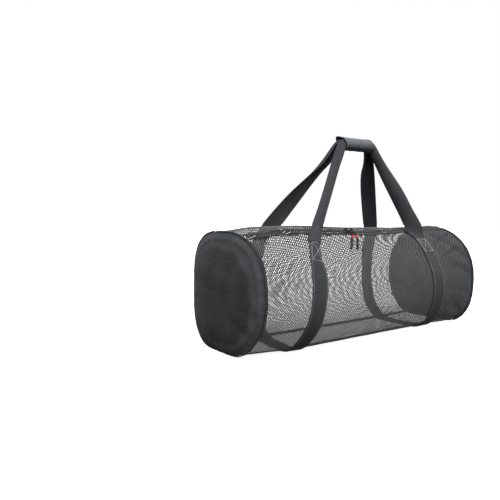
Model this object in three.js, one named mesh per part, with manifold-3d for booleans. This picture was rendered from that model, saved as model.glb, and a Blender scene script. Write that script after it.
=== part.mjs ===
// A mesh duffel for wet dive gear: a round net body between two nylon end panels,
// zipped along the top, carried by two web handles that meet in a padded grip.
// Millimetres and degrees. X runs along the bag, -Y is its front, Z is up.
// The origin is on the floor, under the middle of the bag.
import * as THREE from 'three';
import Module from 'manifold-3d';
import { mergeVertices } from 'three/addons/utils/BufferGeometryUtils.js';

const wasm = await Module();
wasm.setup();

// Clearances and cloth
const GAP = 0.3;
const SEAM_GAP = 0.45;
const WEB_GAP = 0.7;
const NET_THICKNESS = 1.6;
const NYLON_THICKNESS = 1.6;

// The body
const BAG_LENGTH = 868;
const BODY_WIDTH = 322;
const BODY_HEIGHT = 315;
const END_BULGE = 22;
const FLOOR_PRESS = 20;
const FLOOR_CORNER = 12;
const END_LIFT = 8;
const FLOOR_PANEL_WIDTH = 136;
const FLOOR_PANEL_SHIFT = 12;

// The end panels and the tape that binds them
const BINDING_WIDTH = 8;
const BINDING_THICKNESS = 2.6;
const BINDING_OVERHANG = 1.5;
const BINDING_RIDGE = 2.2;
const END_FOLDS = 9;
const END_FOLD_DEPTH = 2.6;
const END_ROUNDNESS = 3.2;
const END_DROOP = 0.35;
const DENT_DEPTH = 8;

// The tapes inside the floor seams
const SEAM_TAPE_WIDTH = 14;
const SEAM_TAPE_THICKNESS = 1.2;

// The webs that ring the body
const WEB_WIDTH = 50;
const WEB_THICKNESS = 2;
const NEAR_RING_TOP = 47;
const FAR_RING_TOP = 53;
const NEAR_PINCH = 0.34;
const PINCH_FROM = 18;
const PINCH_RISE = 40;

// The zip
const ZIP_TAPE_WIDTH = 17;
const ZIP_TAPE_THICKNESS = 0.9;
const ZIP_COIL_WIDTH = 5.4;
const ZIP_COIL_HEIGHT = 2.4;
const NET_UNDER_TAPE = 7;
const ZIP_END_MARGIN = 4;

// The sliders and their pulls
const SLIDER_LENGTH = 13;
const SLIDER_WIDTH = 10.5;
const SLIDER_ROOF = 1.6;
const SLIDER_CHAMFER_HIGH = 0.6;
const SLIDER_CHAMFER_WIDE = 1;
const SLIDER_AT = -54;
const SLIDER_SPACING = 21;
const BRIDGE_WIDTH = 2.4;
const BRIDGE_BAR = 1.4;
const BRIDGE_LENGTH = 9;
const BRIDGE_SUNK = 0.5;
const BRIDGE_SLOPE = 1;
const LOOP_DIAMETER = 2.2;
const LOOP_CLEARANCE = 0.85;
const LOOP_LENGTH = 24;
const COLLAR_DIAMETER = 7.4;
const COLLAR_LENGTH = 15;
const COLLAR_NECK = 0.72;
const COLLAR_SHOULDER = 0.25;
const SLEEVE_DIAMETER = 7;
const SLEEVE_LENGTH = 49;
const SLEEVE_TIP = 0.7;
const SLEEVE_ROUNDING = 0.1;

// The grip and the handles
const GRIP_LENGTH = 102;
const GRIP_X = 22;
const GRIP_Y = -20;
const GRIP_HEIGHT = 556;
const GRIP_CURL = 235;
const STRAP_GAP = 1;
const WRAP_THICKNESS = 2.5;
const WRAP_CLEARANCE = 1.4;
const WRAP_TURN = 410;
const WRAP_FLARE = 7;
const WRAP_MOUTH = 3;
const WRAP_START = -60;
const WRAP_LAP_FROM = 285;
const WRAP_LAP_TO = 350;
const FLARE_TURN = 20;
const FLARE_FROM = 60;
const FLARE_TO = 120;
const KNEE = 3;
const KNEE_BEND = 12;
const SEAT_LENGTH = 40;
const RING_TO_HANDLE = 1.05;
const GRIP_STANDOFF = 8;
const GRIP_BEND_IN = 8;
const GRIP_BEND_OUT = 26;

// Half sizes and places that follow from these
const NET_END = BAG_LENGTH / 2 - END_BULGE;
const FLOOR_BASE = WEB_THICKNESS + WEB_GAP;
const MM_PER_DEGREE = THREE.MathUtils.degToRad(BODY_WIDTH / 2);
const PULL_LENGTH = COLLAR_LENGTH + GAP + SLEEVE_LENGTH;

// How finely the curves are stepped
const FRONT_STEPS = 13;
const BACK_STEPS = 17;
const FLOOR_STEPS = 5;
const LENGTH_STEPS = 20;
const RING_STEPS = 55;
const END_STEPS = 5;
const HANDLE_STEPS = { knee: 4, leg: 9, corner: 6, grip: 2 };
const WRAP_STEPS = 22;
const WRAP_STATIONS = 5;
const COLLAR_STEPS = 5;
const SLEEVE_STEPS = 8;
const LOOP_STEPS = 22;
const ROUND_SIDES = 12;
const CORD_SIDES = 8;
const SLOPE_ALONG = 0.5;
const SLOPE_ROUND = 0.2;
const POINTS_PER_MM = 1e4;

// The body's outline along its length. Lengths are shares: at of the half length, wide of
// the half width, crown of the height, press and lift of the floor's press and the end lift.
// Square is how far the section fills out its corners, as a share of its radius.
const SECTIONS = [
  { at: -1.0, wide: 1.0, crown: 0.99, press: 0.3, lift: 0.2, zip: 66 },
  { at: -0.82, wide: 1.0, crown: 1.028, press: 0.6, lift: 0.2, zip: 67 },
  { at: -0.6, wide: 1.0, crown: 1.036, press: 0.9, lift: 0, zip: 68 },
  { at: -0.35, wide: 1.0, crown: 1.032, press: 0.95, lift: 0, zip: 67 },
  { at: 0, wide: 1.0, crown: 1.006, press: 1.0, lift: 0, zip: 66 },
  { at: 0.35, wide: 1.0, crown: 0.998, press: 1.0, lift: 0, zip: 69 },
  { at: 0.6, wide: 1.0, crown: 0.994, press: 1.0, lift: 0, zip: 73 },
  { at: 0.84, wide: 1.005, crown: 0.996, press: 0.95, lift: 0.1, zip: 76 },
  { at: 1.0, wide: 1.02, crown: 0.986, press: 0.7, lift: 0.3, zip: 76 },
];

// How far each corner of the section fills out, as a share of its radius.
const CORNERS = [
  { at: -1.0, topFront: 0.06, topBack: 0.09, lowFront: -0.034, lowBack: 0.153 },
  { at: -0.82, topFront: 0.03, topBack: 0.047, lowFront: -0.018, lowBack: 0.08 },
  { at: -0.6, topFront: 0.007, topBack: 0.01, lowFront: 0, lowBack: 0.018 },
  { at: -0.35, topFront: 0, topBack: 0, lowFront: 0, lowBack: 0 },
  { at: 0.74, topFront: 0, topBack: 0, lowFront: 0, lowBack: 0 },
  { at: 0.87, topFront: 0.01, topBack: 0.015, lowFront: 0.04, lowBack: 0.03 },
  { at: 1.0, topFront: 0.03, topBack: 0.04, lowFront: 0.09, lowBack: 0.06 },
];

// The broad dents and swells of the slack net. Lengths are shares: at and long of the half
// length, depth of the dent depth. Angle and wide are degrees round the body.
const DENTS = [
  { at: -0.8, angle: 62, long: 0.15, wide: 17, depth: 0.7 },
  { at: -0.42, angle: 50, long: 0.16, wide: 20, depth: 0.9 },
  { at: -0.8, angle: -8, long: 0.14, wide: 28, depth: 0.35 },
  { at: 0.1, angle: -25, long: 0.35, wide: 24, depth: 0.4 },
  { at: 0.78, angle: 48, long: 0.14, wide: 20, depth: 0.7 },
  { at: 0.1, angle: 125, long: 0.3, wide: 26, depth: -0.4 },
  { at: -1.05, angle: 132, long: 0.13, wide: 22, depth: -1.1 },
];

// How each handle leg turns and curls on its way up: rise is the share of the leg from its
// box to the grip, turn is about the leg, curl is the angle that the web is rolled through.
const LEGS = {
  front_near: [
    { rise: 0, turn: -10, curl: 130 },
    { rise: 0.1, turn: 6, curl: 140 },
    { rise: 0.22, turn: 20, curl: 130 },
    { rise: 0.4, turn: 24, curl: 120 },
    { rise: 0.75, turn: 22, curl: 165 },
    { rise: 0.9, turn: 6, curl: 220 },
    { rise: 1, turn: 0, curl: GRIP_CURL },
  ],
  front_far: [
    { rise: 0, turn: 12, curl: 0 },
    { rise: 0.1, turn: 28, curl: 15 },
    { rise: 0.25, turn: 38, curl: 90 },
    { rise: 0.45, turn: 36, curl: 105 },
    { rise: 0.65, turn: 22, curl: 135 },
    { rise: 0.9, turn: 4, curl: 215 },
    { rise: 1, turn: 0, curl: GRIP_CURL },
  ],
  back_near: [
    { rise: 0, turn: 0, curl: 0 },
    { rise: 0.15, turn: -17, curl: 10 },
    { rise: 0.38, turn: -6, curl: 25 },
    { rise: 0.6, turn: 14, curl: 70 },
    { rise: 0.75, turn: 24, curl: 130 },
    { rise: 0.9, turn: 6, curl: 215 },
    { rise: 1, turn: 0, curl: GRIP_CURL },
  ],
  back_far: [
    { rise: 0, turn: 12, curl: 0 },
    { rise: 0.5, turn: 20, curl: 25 },
    { rise: 0.75, turn: 14, curl: 90 },
    { rise: 0.9, turn: -4, curl: 205 },
    { rise: 1, turn: 0, curl: GRIP_CURL },
  ],
};

// The two pulls: slider is the share of the spacing from their middle, hang is how far the
// loop runs along the bag before the collar. The pull then lies over the net, turned by
// veer degrees from straight down towards the near end.
const PULLS = [
  { name: 'near', slider: -0.5, hang: 9, veer: 42 },
  { name: 'far', slider: 0.5, hang: 4, veer: 36 },
];

const COLOURS = {
  net: { color: 0x8d9094, roughness: 0.7, metalness: 0 },
  nylon: { color: 0x3b3d40, roughness: 0.6, metalness: 0 },
  web: { color: 0x47494c, roughness: 0.8, metalness: 0 },
  tape: { color: 0x2b2c2e, roughness: 0.8, metalness: 0 },
  coil: { color: 0x222325, roughness: 0.5, metalness: 0 },
  slider: { color: 0x55585c, roughness: 0.35, metalness: 0.9 },
  red: { color: 0xd2231d, roughness: 0.4, metalness: 0 },
  rubber: { color: 0x26272a, roughness: 0.6, metalness: 0 },
};

const { lerp, clamp, degToRad, smoothstep } = THREE.MathUtils;
const sin = (degrees) => Math.sin(degToRad(degrees));
const cos = (degrees) => Math.cos(degToRad(degrees));
const count = (n) => Array.from({ length: n }, (_, i) => i);

// A smooth curve through one column of a table, level where the column turns back.
function follow(table, place, column, value) {
  const last = table.length - 1;
  const v = clamp(value, table[0][place], table[last][place]);
  const i = clamp(table.findIndex((row) => row[place] >= v) - 1, 0, last - 1);
  const slope = (k) => {
    const [a, b, c] = [Math.max(k - 1, 0), k, Math.min(k + 1, last)].map((n) => table[n]);
    const inner = k > 0 && k < last;
    const turns = inner && (b[column] - a[column]) * (c[column] - b[column]) <= 0;
    return turns ? 0 : (c[column] - a[column]) / (c[place] - a[place]);
  };
  const width = table[i + 1][place] - table[i][place];
  const t = (v - table[i][place]) / width;
  const rise = table[i + 1][column] - table[i][column];
  const bend = (1 - t) * (slope(i) * width - rise) + t * (rise - slope(i + 1) * width);
  return table[i][column] + t * rise + t * (1 - t) * bend;
}

const section = (column, x) => follow(SECTIONS, 'at', column, x / NET_END);

// The floor presses the round section flat, with a soft corner.
function pressed(z) {
  if (z <= -FLOOR_CORNER) return 0;
  if (z >= FLOOR_CORNER) return z;
  return (z + FLOOR_CORNER) ** 2 / (4 * FLOOR_CORNER);
}

// The net's outer face. The angle is 0 at the front, 90 on top, 180 at the back.
function skin(x, angle) {
  const wide = (section('wide', x) * BODY_WIDTH) / 2;
  const press = section('press', x) * FLOOR_PRESS;
  const top = section('crown', x) * BODY_HEIGHT - FLOOR_BASE;
  const lift = section('lift', x) * END_LIFT;
  const middle = (top - press) / 2;
  const corner = (sin(angle) > 0 ? 'top' : 'low') + (cos(angle) > 0 ? 'Front' : 'Back');
  const full = 1 + follow(CORNERS, 'at', corner, x / NET_END) * sin(2 * angle) ** 2;
  const z = pressed(middle + full * ((top + press) / 2) * sin(angle));
  const y = -full * wide * cos(angle);
  const point = new THREE.Vector3(x, y, z * (1 - lift / top) + lift + FLOOR_BASE);
  const sag = dented(x / NET_END, angle) * DENT_DEPTH;
  return point.add(new THREE.Vector3(0, sag * cos(angle), -sag * sin(angle)));
}

// The sum of the dents at a place: full at a dent's middle, none from its edge outwards.
function dented(at, angle) {
  return DENTS.reduce((sum, dent) => {
    const away = Math.hypot((at - dent.at) / (2 * dent.long), (angle - dent.angle) / (2 * dent.wide));
    return sum + dent.depth * (1 - smoothstep(away, 0, 1));
  }, 0);
}

function outward(x, angle) {
  const along = skin(x + SLOPE_ALONG, angle).sub(skin(x - SLOPE_ALONG, angle));
  const round = skin(x, angle + SLOPE_ROUND).sub(skin(x, angle - SLOPE_ROUND));
  return along.cross(round).normalize();
}

const onSkin = (x, angle, height) => skin(x, angle).addScaledVector(outward(x, angle), height);

const zipAngle = (x) => section('zip', x);
const seamAngle = (y) => -THREE.MathUtils.radToDeg(Math.acos((-2 * y) / BODY_WIDTH));
const FRONT_SEAM = seamAngle(FLOOR_PANEL_SHIFT - FLOOR_PANEL_WIDTH / 2);
const BACK_SEAM = seamAngle(FLOOR_PANEL_SHIFT + FLOOR_PANEL_WIDTH / 2);
const degrees = (mm) => mm / MM_PER_DEGREE;

function spaced(from, to, steps) {
  return count(steps + 1).map((i) => lerp(from, to, i / steps));
}

// Lofts a closed solid through point loops of one length. Each loop runs out along one side
// and back along the other, so an end closes as a ladder between the two sides.
function loft(loops, joined = false) {
  const points = [];
  const known = new Map();
  const faces = [];
  const spot = (p) => {
    const key = [p.x, p.y, p.z].map((v) => Math.round(v * POINTS_PER_MM)).join();
    if (!known.has(key)) {
      known.set(key, points.length / 3);
      points.push(p.x, p.y, p.z);
    }
    return known.get(key);
  };
  const face = (a, b, c) => {
    if (a !== b && b !== c && c !== a) faces.push(a, b, c);
  };
  const quad = (a, b, c, d) => {
    face(a, b, c);
    face(a, c, d);
  };
  const rows = loops.map((loop) => loop.map(spot));
  const n = rows[0].length;
  count(joined ? rows.length : rows.length - 1).forEach((i) => {
    const here = rows[i];
    const next = rows[(i + 1) % rows.length];
    count(n).forEach((j) => quad(here[j], here[(j + 1) % n], next[(j + 1) % n], next[j]));
  });
  if (!joined) {
    const first = rows[0];
    const last = rows[rows.length - 1];
    count(n / 2 - 1).forEach((j) => {
      quad(first[j], first[n - 1 - j], first[n - 2 - j], first[j + 1]);
      quad(last[j], last[j + 1], last[n - 2 - j], last[n - 1 - j]);
    });
  }
  return facingOut(points, faces);
}

// Turns all faces over where the solid's volume comes out negative.
function facingOut(points, faces) {
  const at = (i) => new THREE.Vector3(points[3 * i], points[3 * i + 1], points[3 * i + 2]);
  let volume = 0;
  for (let i = 0; i < faces.length; i += 3) {
    volume += at(faces[i]).dot(at(faces[i + 1]).cross(at(faces[i + 2])));
  }
  const geometry = new THREE.BufferGeometry();
  geometry.setAttribute('position', new THREE.Float32BufferAttribute(points, 3));
  geometry.setIndex(volume < 0 ? faces.reverse() : faces);
  return geometry;
}

// A strip of cloth on the skin, between two angles at each place along the bag.
function clothAlong(places, anglesAt, low, high) {
  return loft(
    places.map((x) => {
      const angles = anglesAt(x);
      const outer = angles.map((angle) => onSkin(x, angle, high));
      const inner = angles.map((angle) => onSkin(x, angle, low));
      return outer.concat(inner.reverse());
    }),
  );
}

const bag = new THREE.Group();

function add(name, colour, geometry) {
  const mesh = new THREE.Mesh(geometry, new THREE.MeshStandardMaterial(COLOURS[colour]));
  mesh.name = name;
  bag.add(mesh);
}

// The net panels. They have a station where each end binding stops.
const boundEnd = NET_END - BINDING_WIDTH;
const netPlaces = [-NET_END, ...spaced(-boundEnd, boundEnd, LENGTH_STEPS), NET_END];
const half = degrees(GAP / 2);
const netEdge = degrees(ZIP_COIL_WIDTH / 2 + ZIP_TAPE_WIDTH - NET_UNDER_TAPE);
const frontAngles = (x) => spaced(FRONT_SEAM + half, zipAngle(x) - netEdge, FRONT_STEPS);
const backAngles = (x) => spaced(zipAngle(x) + netEdge, BACK_SEAM + 360 - half, BACK_STEPS);
const floorAngles = () => spaced(BACK_SEAM + half, FRONT_SEAM - half, FLOOR_STEPS);

// The angles of the net's own corners, once round from the front seam.
function netAngles(x) {
  const floor = floorAngles().map((angle) => angle + 360);
  return [...frontAngles(x), zipAngle(x), ...backAngles(x), ...floor];
}

// A point on the flat between two corners of the net.
function onFlats(x, angle, height) {
  const corners = netAngles(x);
  corners.push(...frontAngles(x).map((corner) => corner + 360));
  const i = corners.findIndex((corner) => corner >= angle);
  const share = (angle - corners[i - 1]) / (corners[i] - corners[i - 1]);
  return onSkin(x, corners[i - 1], height).lerp(onSkin(x, corners[i], height), share);
}

function addNet() {
  add('mesh_front', 'net', clothAlong(netPlaces, frontAngles, -NET_THICKNESS, 0));
  add('mesh_back', 'net', clothAlong(netPlaces, backAngles, -NET_THICKNESS, 0));
  add('mesh_floor', 'net', clothAlong(netPlaces, floorAngles, -NET_THICKNESS, 0));
}

// The tapes lie inside the floor seams, on the flats between the net's own corners, and
// stop clear of the end panels.
function addSeamTapes() {
  const end = NET_END - NYLON_THICKNESS - 2 * GAP;
  const places = netPlaces.map((x) => clamp(x, -end, end));
  const spread = degrees(SEAM_TAPE_WIDTH / 2);
  const high = -NET_THICKNESS - SEAM_GAP;
  const seams = { front: FRONT_SEAM + 360, back: BACK_SEAM + 360 };
  for (const [name, seam] of Object.entries(seams)) {
    const loops = places.map((x) => {
      const angles = [seam - spread, seam, seam + spread];
      const outer = angles.map((angle) => onFlats(x, angle, high));
      const inner = angles.map((angle) => onFlats(x, angle, high - SEAM_TAPE_THICKNESS));
      return outer.concat(inner.reverse());
    });
    add(`seam_tape_${name}`, 'tape', loft(loops));
  }
}

// An end panel is a slack disc: it bulges, and folds run in from its rim.
function addEnd(name, side) {
  const x = side * NET_END;
  const angles = netAngles(x);
  const rings = spaced(0, 1, END_STEPS);
  const centre = new THREE.Vector3(x, 0, BODY_HEIGHT / 2);
  const place = (angle, share, depth) => {
    const rim = onSkin(x, angle, -NET_THICKNESS - GAP);
    const fold = END_FOLD_DEPTH * sin(END_FOLDS * angle) * share * (1 - share) * 4;
    const droop = 1 - END_DROOP * share * sin(angle);
    const bulge = (END_BULGE - END_FOLD_DEPTH) * (1 - share ** END_ROUNDNESS) * droop;
    const p = centre.clone().lerp(rim, share);
    p.x = x + side * (bulge + fold - depth);
    return p;
  };
  const loops = angles.map((angle) => {
    const outer = rings.map((share) => place(angle, share, 0));
    const inner = rings.map((share) => place(angle, share, NYLON_THICKNESS));
    return outer.concat(inner.reverse());
  });
  add(`end_panel_${name}`, 'nylon', loft(loops, true));
  const edge = [
    { in: -BINDING_OVERHANG, high: 0 },
    { in: -BINDING_OVERHANG, high: 0.5 },
    { in: BINDING_RIDGE, high: 1 },
    { in: BINDING_WIDTH, high: 0.55 },
    { in: BINDING_WIDTH, high: 0 },
    { in: BINDING_RIDGE, high: 0 },
  ];
  const band = angles.map((angle) =>
    edge.map((row) => {
      const out = outward(x - side, angle).multiplyScalar(GAP + row.high * BINDING_THICKNESS);
      return skin(x - side * Math.max(row.in, 0), angle)
        .add(out)
        .setX(x - side * row.in);
    }),
  );
  add(`end_binding_${name}`, 'tape', loft(band, true));
}

// The webs that ring the body wander along it. A route runs from the back handle, at the
// lowest angle, under the floor at -90, to the front handle.
const ROUTES = {
  near: [
    { angle: -227, x: -224 },
    { angle: -204, x: -212 },
    { angle: -180, x: -214 },
    { angle: -150, x: -223 },
    { angle: -110, x: -238 },
    { angle: -80, x: -250 },
    { angle: -50, x: -256 },
    { angle: -22, x: -248 },
    { angle: 10, x: -242 },
    { angle: 32, x: -234 },
    { angle: 47, x: -216 },
  ],
  far: [
    { angle: -233, x: 228 },
    { angle: -204, x: 270 },
    { angle: -185, x: 284 },
    { angle: -164, x: 280 },
    { angle: -138, x: 268 },
    { angle: -110, x: 268 },
    { angle: -80, x: 268 },
    { angle: -50, x: 264 },
    { angle: -15, x: 244 },
    { angle: 10, x: 232 },
    { angle: 36, x: 226 },
    { angle: 53, x: 228 },
  ],
};
const RINGS = {
  near: { side: -1, route: ROUTES.near, top: NEAR_RING_TOP, pinch: NEAR_PINCH },
  far: { side: 1, route: ROUTES.far, top: FAR_RING_TOP, pinch: 0 },
};

const ringPlace = (ring, angle) => follow(ring.route, 'angle', 'x', angle > 90 ? angle - 360 : angle);

// A point on a web: share runs from -1 to 1 across it, always towards +X. Under its front
// handle a web may be pinched: it gets narrower there and stands up along its middle.
function onWeb(ring, angle, share, height) {
  const pinch = angle < 90 ? ring.pinch * smoothstep(angle, PINCH_FROM, ring.top) : 0;
  const x = ringPlace(ring, angle);
  const dx = ringPlace(ring, angle + 0.5) - ringPlace(ring, angle - 0.5);
  const slant = Math.atan2(dx, MM_PER_DEGREE);
  const out = (1 - pinch) * ((share * WEB_WIDTH) / 2);
  const stand = height + PINCH_RISE * pinch * (1 - share ** 2);
  return onSkin(x + out * Math.cos(slant), angle - degrees(out * Math.sin(slant)), stand);
}

const WEB_SHARES = [-1, 0, 1];

function addRing(name) {
  const ring = RINGS[name];
  const loops = spaced(ring.top, -180 - ring.top, RING_STEPS).map((angle) => {
    const turned = angle < -90 ? angle + 360 : angle;
    const at = (height) => WEB_SHARES.map((share) => onWeb(ring, turned, share, height));
    return at(WEB_GAP + WEB_THICKNESS).concat(at(WEB_GAP).reverse());
  });
  add(`web_ring_${name}`, 'web', loft(loops));
}

// The zip: two tapes over the net's edges, and the closed coil between them.
function addZip() {
  const end = NET_END - BINDING_WIDTH - ZIP_END_MARGIN;
  const places = spaced(-end, end, LENGTH_STEPS);
  const coil = degrees(ZIP_COIL_WIDTH / 2);
  const tape = degrees(ZIP_TAPE_WIDTH);
  const side = (way) => (x) =>
    [coil + half * 2, coil + tape / 2, coil + tape].map((a) => zipAngle(x) + way * a);
  const top = GAP + ZIP_TAPE_THICKNESS;
  add('zip_tape_front', 'tape', clothAlong(places, side(-1), GAP, top));
  add('zip_tape_back', 'tape', clothAlong(places, side(1), GAP, top));
  const teeth = (x) => [-1, 0, 1].map((a) => zipAngle(x) + a * coil);
  add('zip_coil', 'coil', clothAlong(places, teeth, GAP, GAP + ZIP_COIL_HEIGHT));
}

const asManifold = (geometry) => {
  const bare = geometry.clone();
  bare.deleteAttribute('normal');
  bare.deleteAttribute('uv');
  const merged = mergeVertices(bare, 1e-4);
  const vertProperties = new Float32Array(merged.attributes.position.array);
  const triVerts = new Uint32Array(merged.index.array);
  return new wasm.Manifold(new wasm.Mesh({ numProp: 3, vertProperties, triVerts }));
};

const asGeometry = (solid) => {
  const mesh = solid.getMesh();
  const geometry = new THREE.BufferGeometry();
  const points = mesh.vertProperties;
  geometry.setAttribute('position', new THREE.Float32BufferAttribute(points, mesh.numProp));
  geometry.setIndex(Array.from(mesh.triVerts));
  return geometry;
};

function extruded(outline, depth) {
  const shape = new THREE.Shape(outline.map(([x, y]) => new THREE.Vector2(x, y)));
  return new THREE.ExtrudeGeometry(shape, { depth, bevelEnabled: false }).translate(0, 0, -depth / 2);
}

// The slider's roof and cheeks stand over the coil, and a bridge on top holds the cord loop.
const CHANNEL = ZIP_COIL_WIDTH / 2 + GAP;
const ROOF_FROM = ZIP_COIL_HEIGHT + GAP;
const ROOF_TO = ROOF_FROM + SLIDER_ROOF;
const BRIDGE_HOLE = LOOP_DIAMETER + 3 * LOOP_CLEARANCE;
const BAR_FROM = ROOF_TO + BRIDGE_HOLE;
const BAR_TO = BAR_FROM + BRIDGE_BAR;

function sliderSolid() {
  const wide = SLIDER_WIDTH / 2;
  const foot = ZIP_TAPE_THICKNESS + GAP;
  const cheeks = [
    [-wide, foot],
    [-CHANNEL, foot],
    [-CHANNEL, ROOF_FROM],
    [CHANNEL, ROOF_FROM],
    [CHANNEL, foot],
    [wide, foot],
    [wide, ROOF_TO - SLIDER_CHAMFER_HIGH],
    [wide - SLIDER_CHAMFER_WIDE, ROOF_TO],
    [SLIDER_CHAMFER_WIDE - wide, ROOF_TO],
    [-wide, ROOF_TO - SLIDER_CHAMFER_HIGH],
  ];
  const body = extruded(cheeks, SLIDER_LENGTH);
  const reach = BRIDGE_LENGTH / 2;
  const hole = reach - BRIDGE_BAR;
  const arch = [
    [-reach, ROOF_TO - BRIDGE_SUNK],
    [-hole, ROOF_TO - BRIDGE_SUNK],
    [-hole, BAR_FROM],
    [hole, BAR_FROM],
    [hole, ROOF_TO - BRIDGE_SUNK],
    [reach, ROOF_TO - BRIDGE_SUNK],
    [reach - BRIDGE_SLOPE, BAR_TO],
    [BRIDGE_SLOPE - reach, BAR_TO],
  ];
  const bridge = extruded(arch, BRIDGE_WIDTH).rotateY(Math.PI / 2);
  return asGeometry(asManifold(body).add(asManifold(bridge)));
}

// A solid of round sections along a curve, its radius a function of the share along it.
function roundAlong(curve, radius, steps, sides) {
  const loops = spaced(0, 1, steps).map((share) => {
    const centre = curve.getPointAt(share);
    const run = curve.getTangentAt(share);
    const across = new THREE.Vector3(0, 0, 1).cross(run).normalize();
    const up = run.clone().cross(across);
    const r = radius(share);
    return count(sides).map((i) => {
      const turn = (360 * i) / sides;
      return centre.clone().addScaledVector(across, r * cos(turn)).addScaledVector(up, r * sin(turn));
    });
  });
  return loft(loops);
}

function addPull(pull) {
  const x = SLIDER_AT + pull.slider * SLIDER_SPACING;
  const zip = zipAngle(x);
  const up = outward(x, zip);
  const along = onSkin(x + 1, zipAngle(x + 1), 0).sub(onSkin(x - 1, zipAngle(x - 1), 0)).normalize();
  const back = up.clone().cross(along).normalize();
  along.crossVectors(back, up);
  const seat = onSkin(x, zip, GAP);
  const frame = new THREE.Matrix4().makeBasis(back, up, along).setPosition(seat);
  add(`zip_slider_${pull.name}`, 'slider', sliderSolid().applyMatrix4(frame));

  // The route over the net is laid a little long, and the pieces are cut from it.
  const ride = COLLAR_DIAMETER / 2 + 2 * GAP;
  const topAngle = zip - degrees(LOOP_LENGTH);
  const reach = PULL_LENGTH * 1.1;
  const drift = -reach * sin(pull.veer);
  const drop = degrees(reach * cos(pull.veer));
  const route = new THREE.CatmullRomCurve3(
    [0, 0.5, 1].map((t) => onSkin(x + pull.hang + t * drift, topAngle - t * drop, ride)),
  );
  const total = route.getLength();
  const stretch = (from, to) => {
    const points = [0, 0.5, 1].map((t) => route.getPointAt(lerp(from, to, t) / total));
    return new THREE.CatmullRomCurve3(points);
  };
  const collar = stretch(0, COLLAR_LENGTH);
  const sleeve = stretch(COLLAR_LENGTH + GAP, PULL_LENGTH);
  const neck = (share) => lerp(COLLAR_NECK, 1, Math.min(1, share / COLLAR_SHOULDER));
  const collarRadius = (share) => (neck(share) * COLLAR_DIAMETER) / 2;
  const tip = (share) => lerp(SLEEVE_TIP, 1, Math.min(1, (1 - share) / SLEEVE_ROUNDING));
  const sleeveRadius = (share) => (tip(share) * SLEEVE_DIAMETER) / 2;
  const collarShape = roundAlong(collar, collarRadius, COLLAR_STEPS, ROUND_SIDES);
  add(`pull_collar_${pull.name}`, 'red', collarShape);
  const sleeveShape = roundAlong(sleeve, sleeveRadius, SLEEVE_STEPS, ROUND_SIDES);
  add(`pull_sleeve_${pull.name}`, 'rubber', sleeveShape);

  const aim = collar.getTangentAt(0);
  const mouth = collar.getPointAt(0).addScaledVector(aim, -2 * GAP);
  const middle = seat.clone().addScaledVector(up, BAR_FROM + BRIDGE_BAR / 2);
  const turn = BRIDGE_BAR / 2 + LOOP_CLEARANCE + LOOP_DIAMETER / 2;
  const at = (aside, height) =>
    middle.clone().addScaledVector(back, aside).addScaledVector(up, height);
  const strand = LOOP_DIAMETER / 2 + GAP / 2;
  const side = SLIDER_WIDTH / 2 + LOOP_DIAMETER / 2;
  const approach = mouth.clone().addScaledVector(aim, -LOOP_DIAMETER);
  const loop = new THREE.CatmullRomCurve3([
    mouth.clone().addScaledVector(up, -strand),
    approach.clone().addScaledVector(up, -strand),
    at(-side, -turn),
    at(0, -turn),
    at(BRIDGE_WIDTH / 2 + LOOP_CLEARANCE + LOOP_DIAMETER / 2, 0),
    at(0, turn),
    at(-side, turn),
    approach.clone().addScaledVector(up, strand),
    mouth.clone().addScaledVector(up, strand),
  ]);
  const loopShape = roundAlong(loop, () => LOOP_DIAMETER / 2, LOOP_STEPS, CORD_SIDES);
  add(`pull_loop_${pull.name}`, 'rubber', loopShape);
}

// The handles. In the grip each web is curled to a C, and the two face each other.
const curlRadius = (curl) => WEB_WIDTH / degToRad(curl);
const curlDepth = (curl) => curlRadius(curl) * (1 - cos(curl / 2));
const GRIP_DEPTH = curlDepth(GRIP_CURL) + WEB_THICKNESS / 2;
const STRAP_SHARES = [-1, -0.5, 0, 0.5, 1];

function handlePath(way) {
  const gripY = GRIP_Y + way * (GRIP_DEPTH + STRAP_GAP / 2 - WEB_THICKNESS / 2);
  const legs = ['near', 'far'].map((name) => {
    const ring = RINGS[name];
    const angle = way < 0 ? ring.top : 180 - ring.top;
    const middle = WEB_GAP + WEB_THICKNESS / 2;
    const climb = -way;
    const top = onWeb(ring, angle, 0, middle);
    const run = top.clone().sub(onWeb(ring, angle - climb * SLOPE_ROUND, 0, middle)).normalize();
    const [left, right] = [-SLOPE_ROUND, SLOPE_ROUND].map((share) => onWeb(ring, angle, share, middle));
    const across = right.sub(left).normalize();
    const start = top.clone().addScaledVector(run, RING_TO_HANDLE);
    const knee = start.clone().addScaledVector(run, KNEE);
    const reach = GRIP_LENGTH / 2 + GRIP_STANDOFF;
    const corner = new THREE.Vector3(GRIP_X + ring.side * reach, gripY, GRIP_HEIGHT);
    const up = corner.clone().sub(knee).normalize();
    const tilt = up.clone().cross(new THREE.Vector3(1, 0, 0)).normalize();
    return { side: ring.side, start, knee, corner, up, across, tilt };
  });
  const [near, far] = legs;
  const along = new THREE.Vector3(1, 0, 0);
  const path = new THREE.CurvePath();
  const kneeTop = (leg) => leg.knee.clone().addScaledVector(leg.up, KNEE_BEND);
  const bendFrom = (leg) => leg.corner.clone().addScaledVector(leg.up, -GRIP_BEND_OUT);
  const bendTo = (leg) => leg.corner.clone().addScaledVector(along, -leg.side * GRIP_BEND_IN);
  const bend = (a, b, c) => path.add(new THREE.QuadraticBezierCurve3(a, b, c));
  const straight = (a, b) => path.add(new THREE.LineCurve3(a, b));
  bend(near.start, near.knee, kneeTop(near));
  straight(kneeTop(near), bendFrom(near));
  bend(bendFrom(near), near.corner, bendTo(near));
  straight(bendTo(near), bendTo(far));
  bend(bendTo(far), far.corner, bendFrom(far));
  straight(bendFrom(far), kneeTop(far));
  bend(kneeTop(far), far.knee, far.start);
  const lengths = path.getCurveLengths();
  return { path, near, far, lengths };
}

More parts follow.
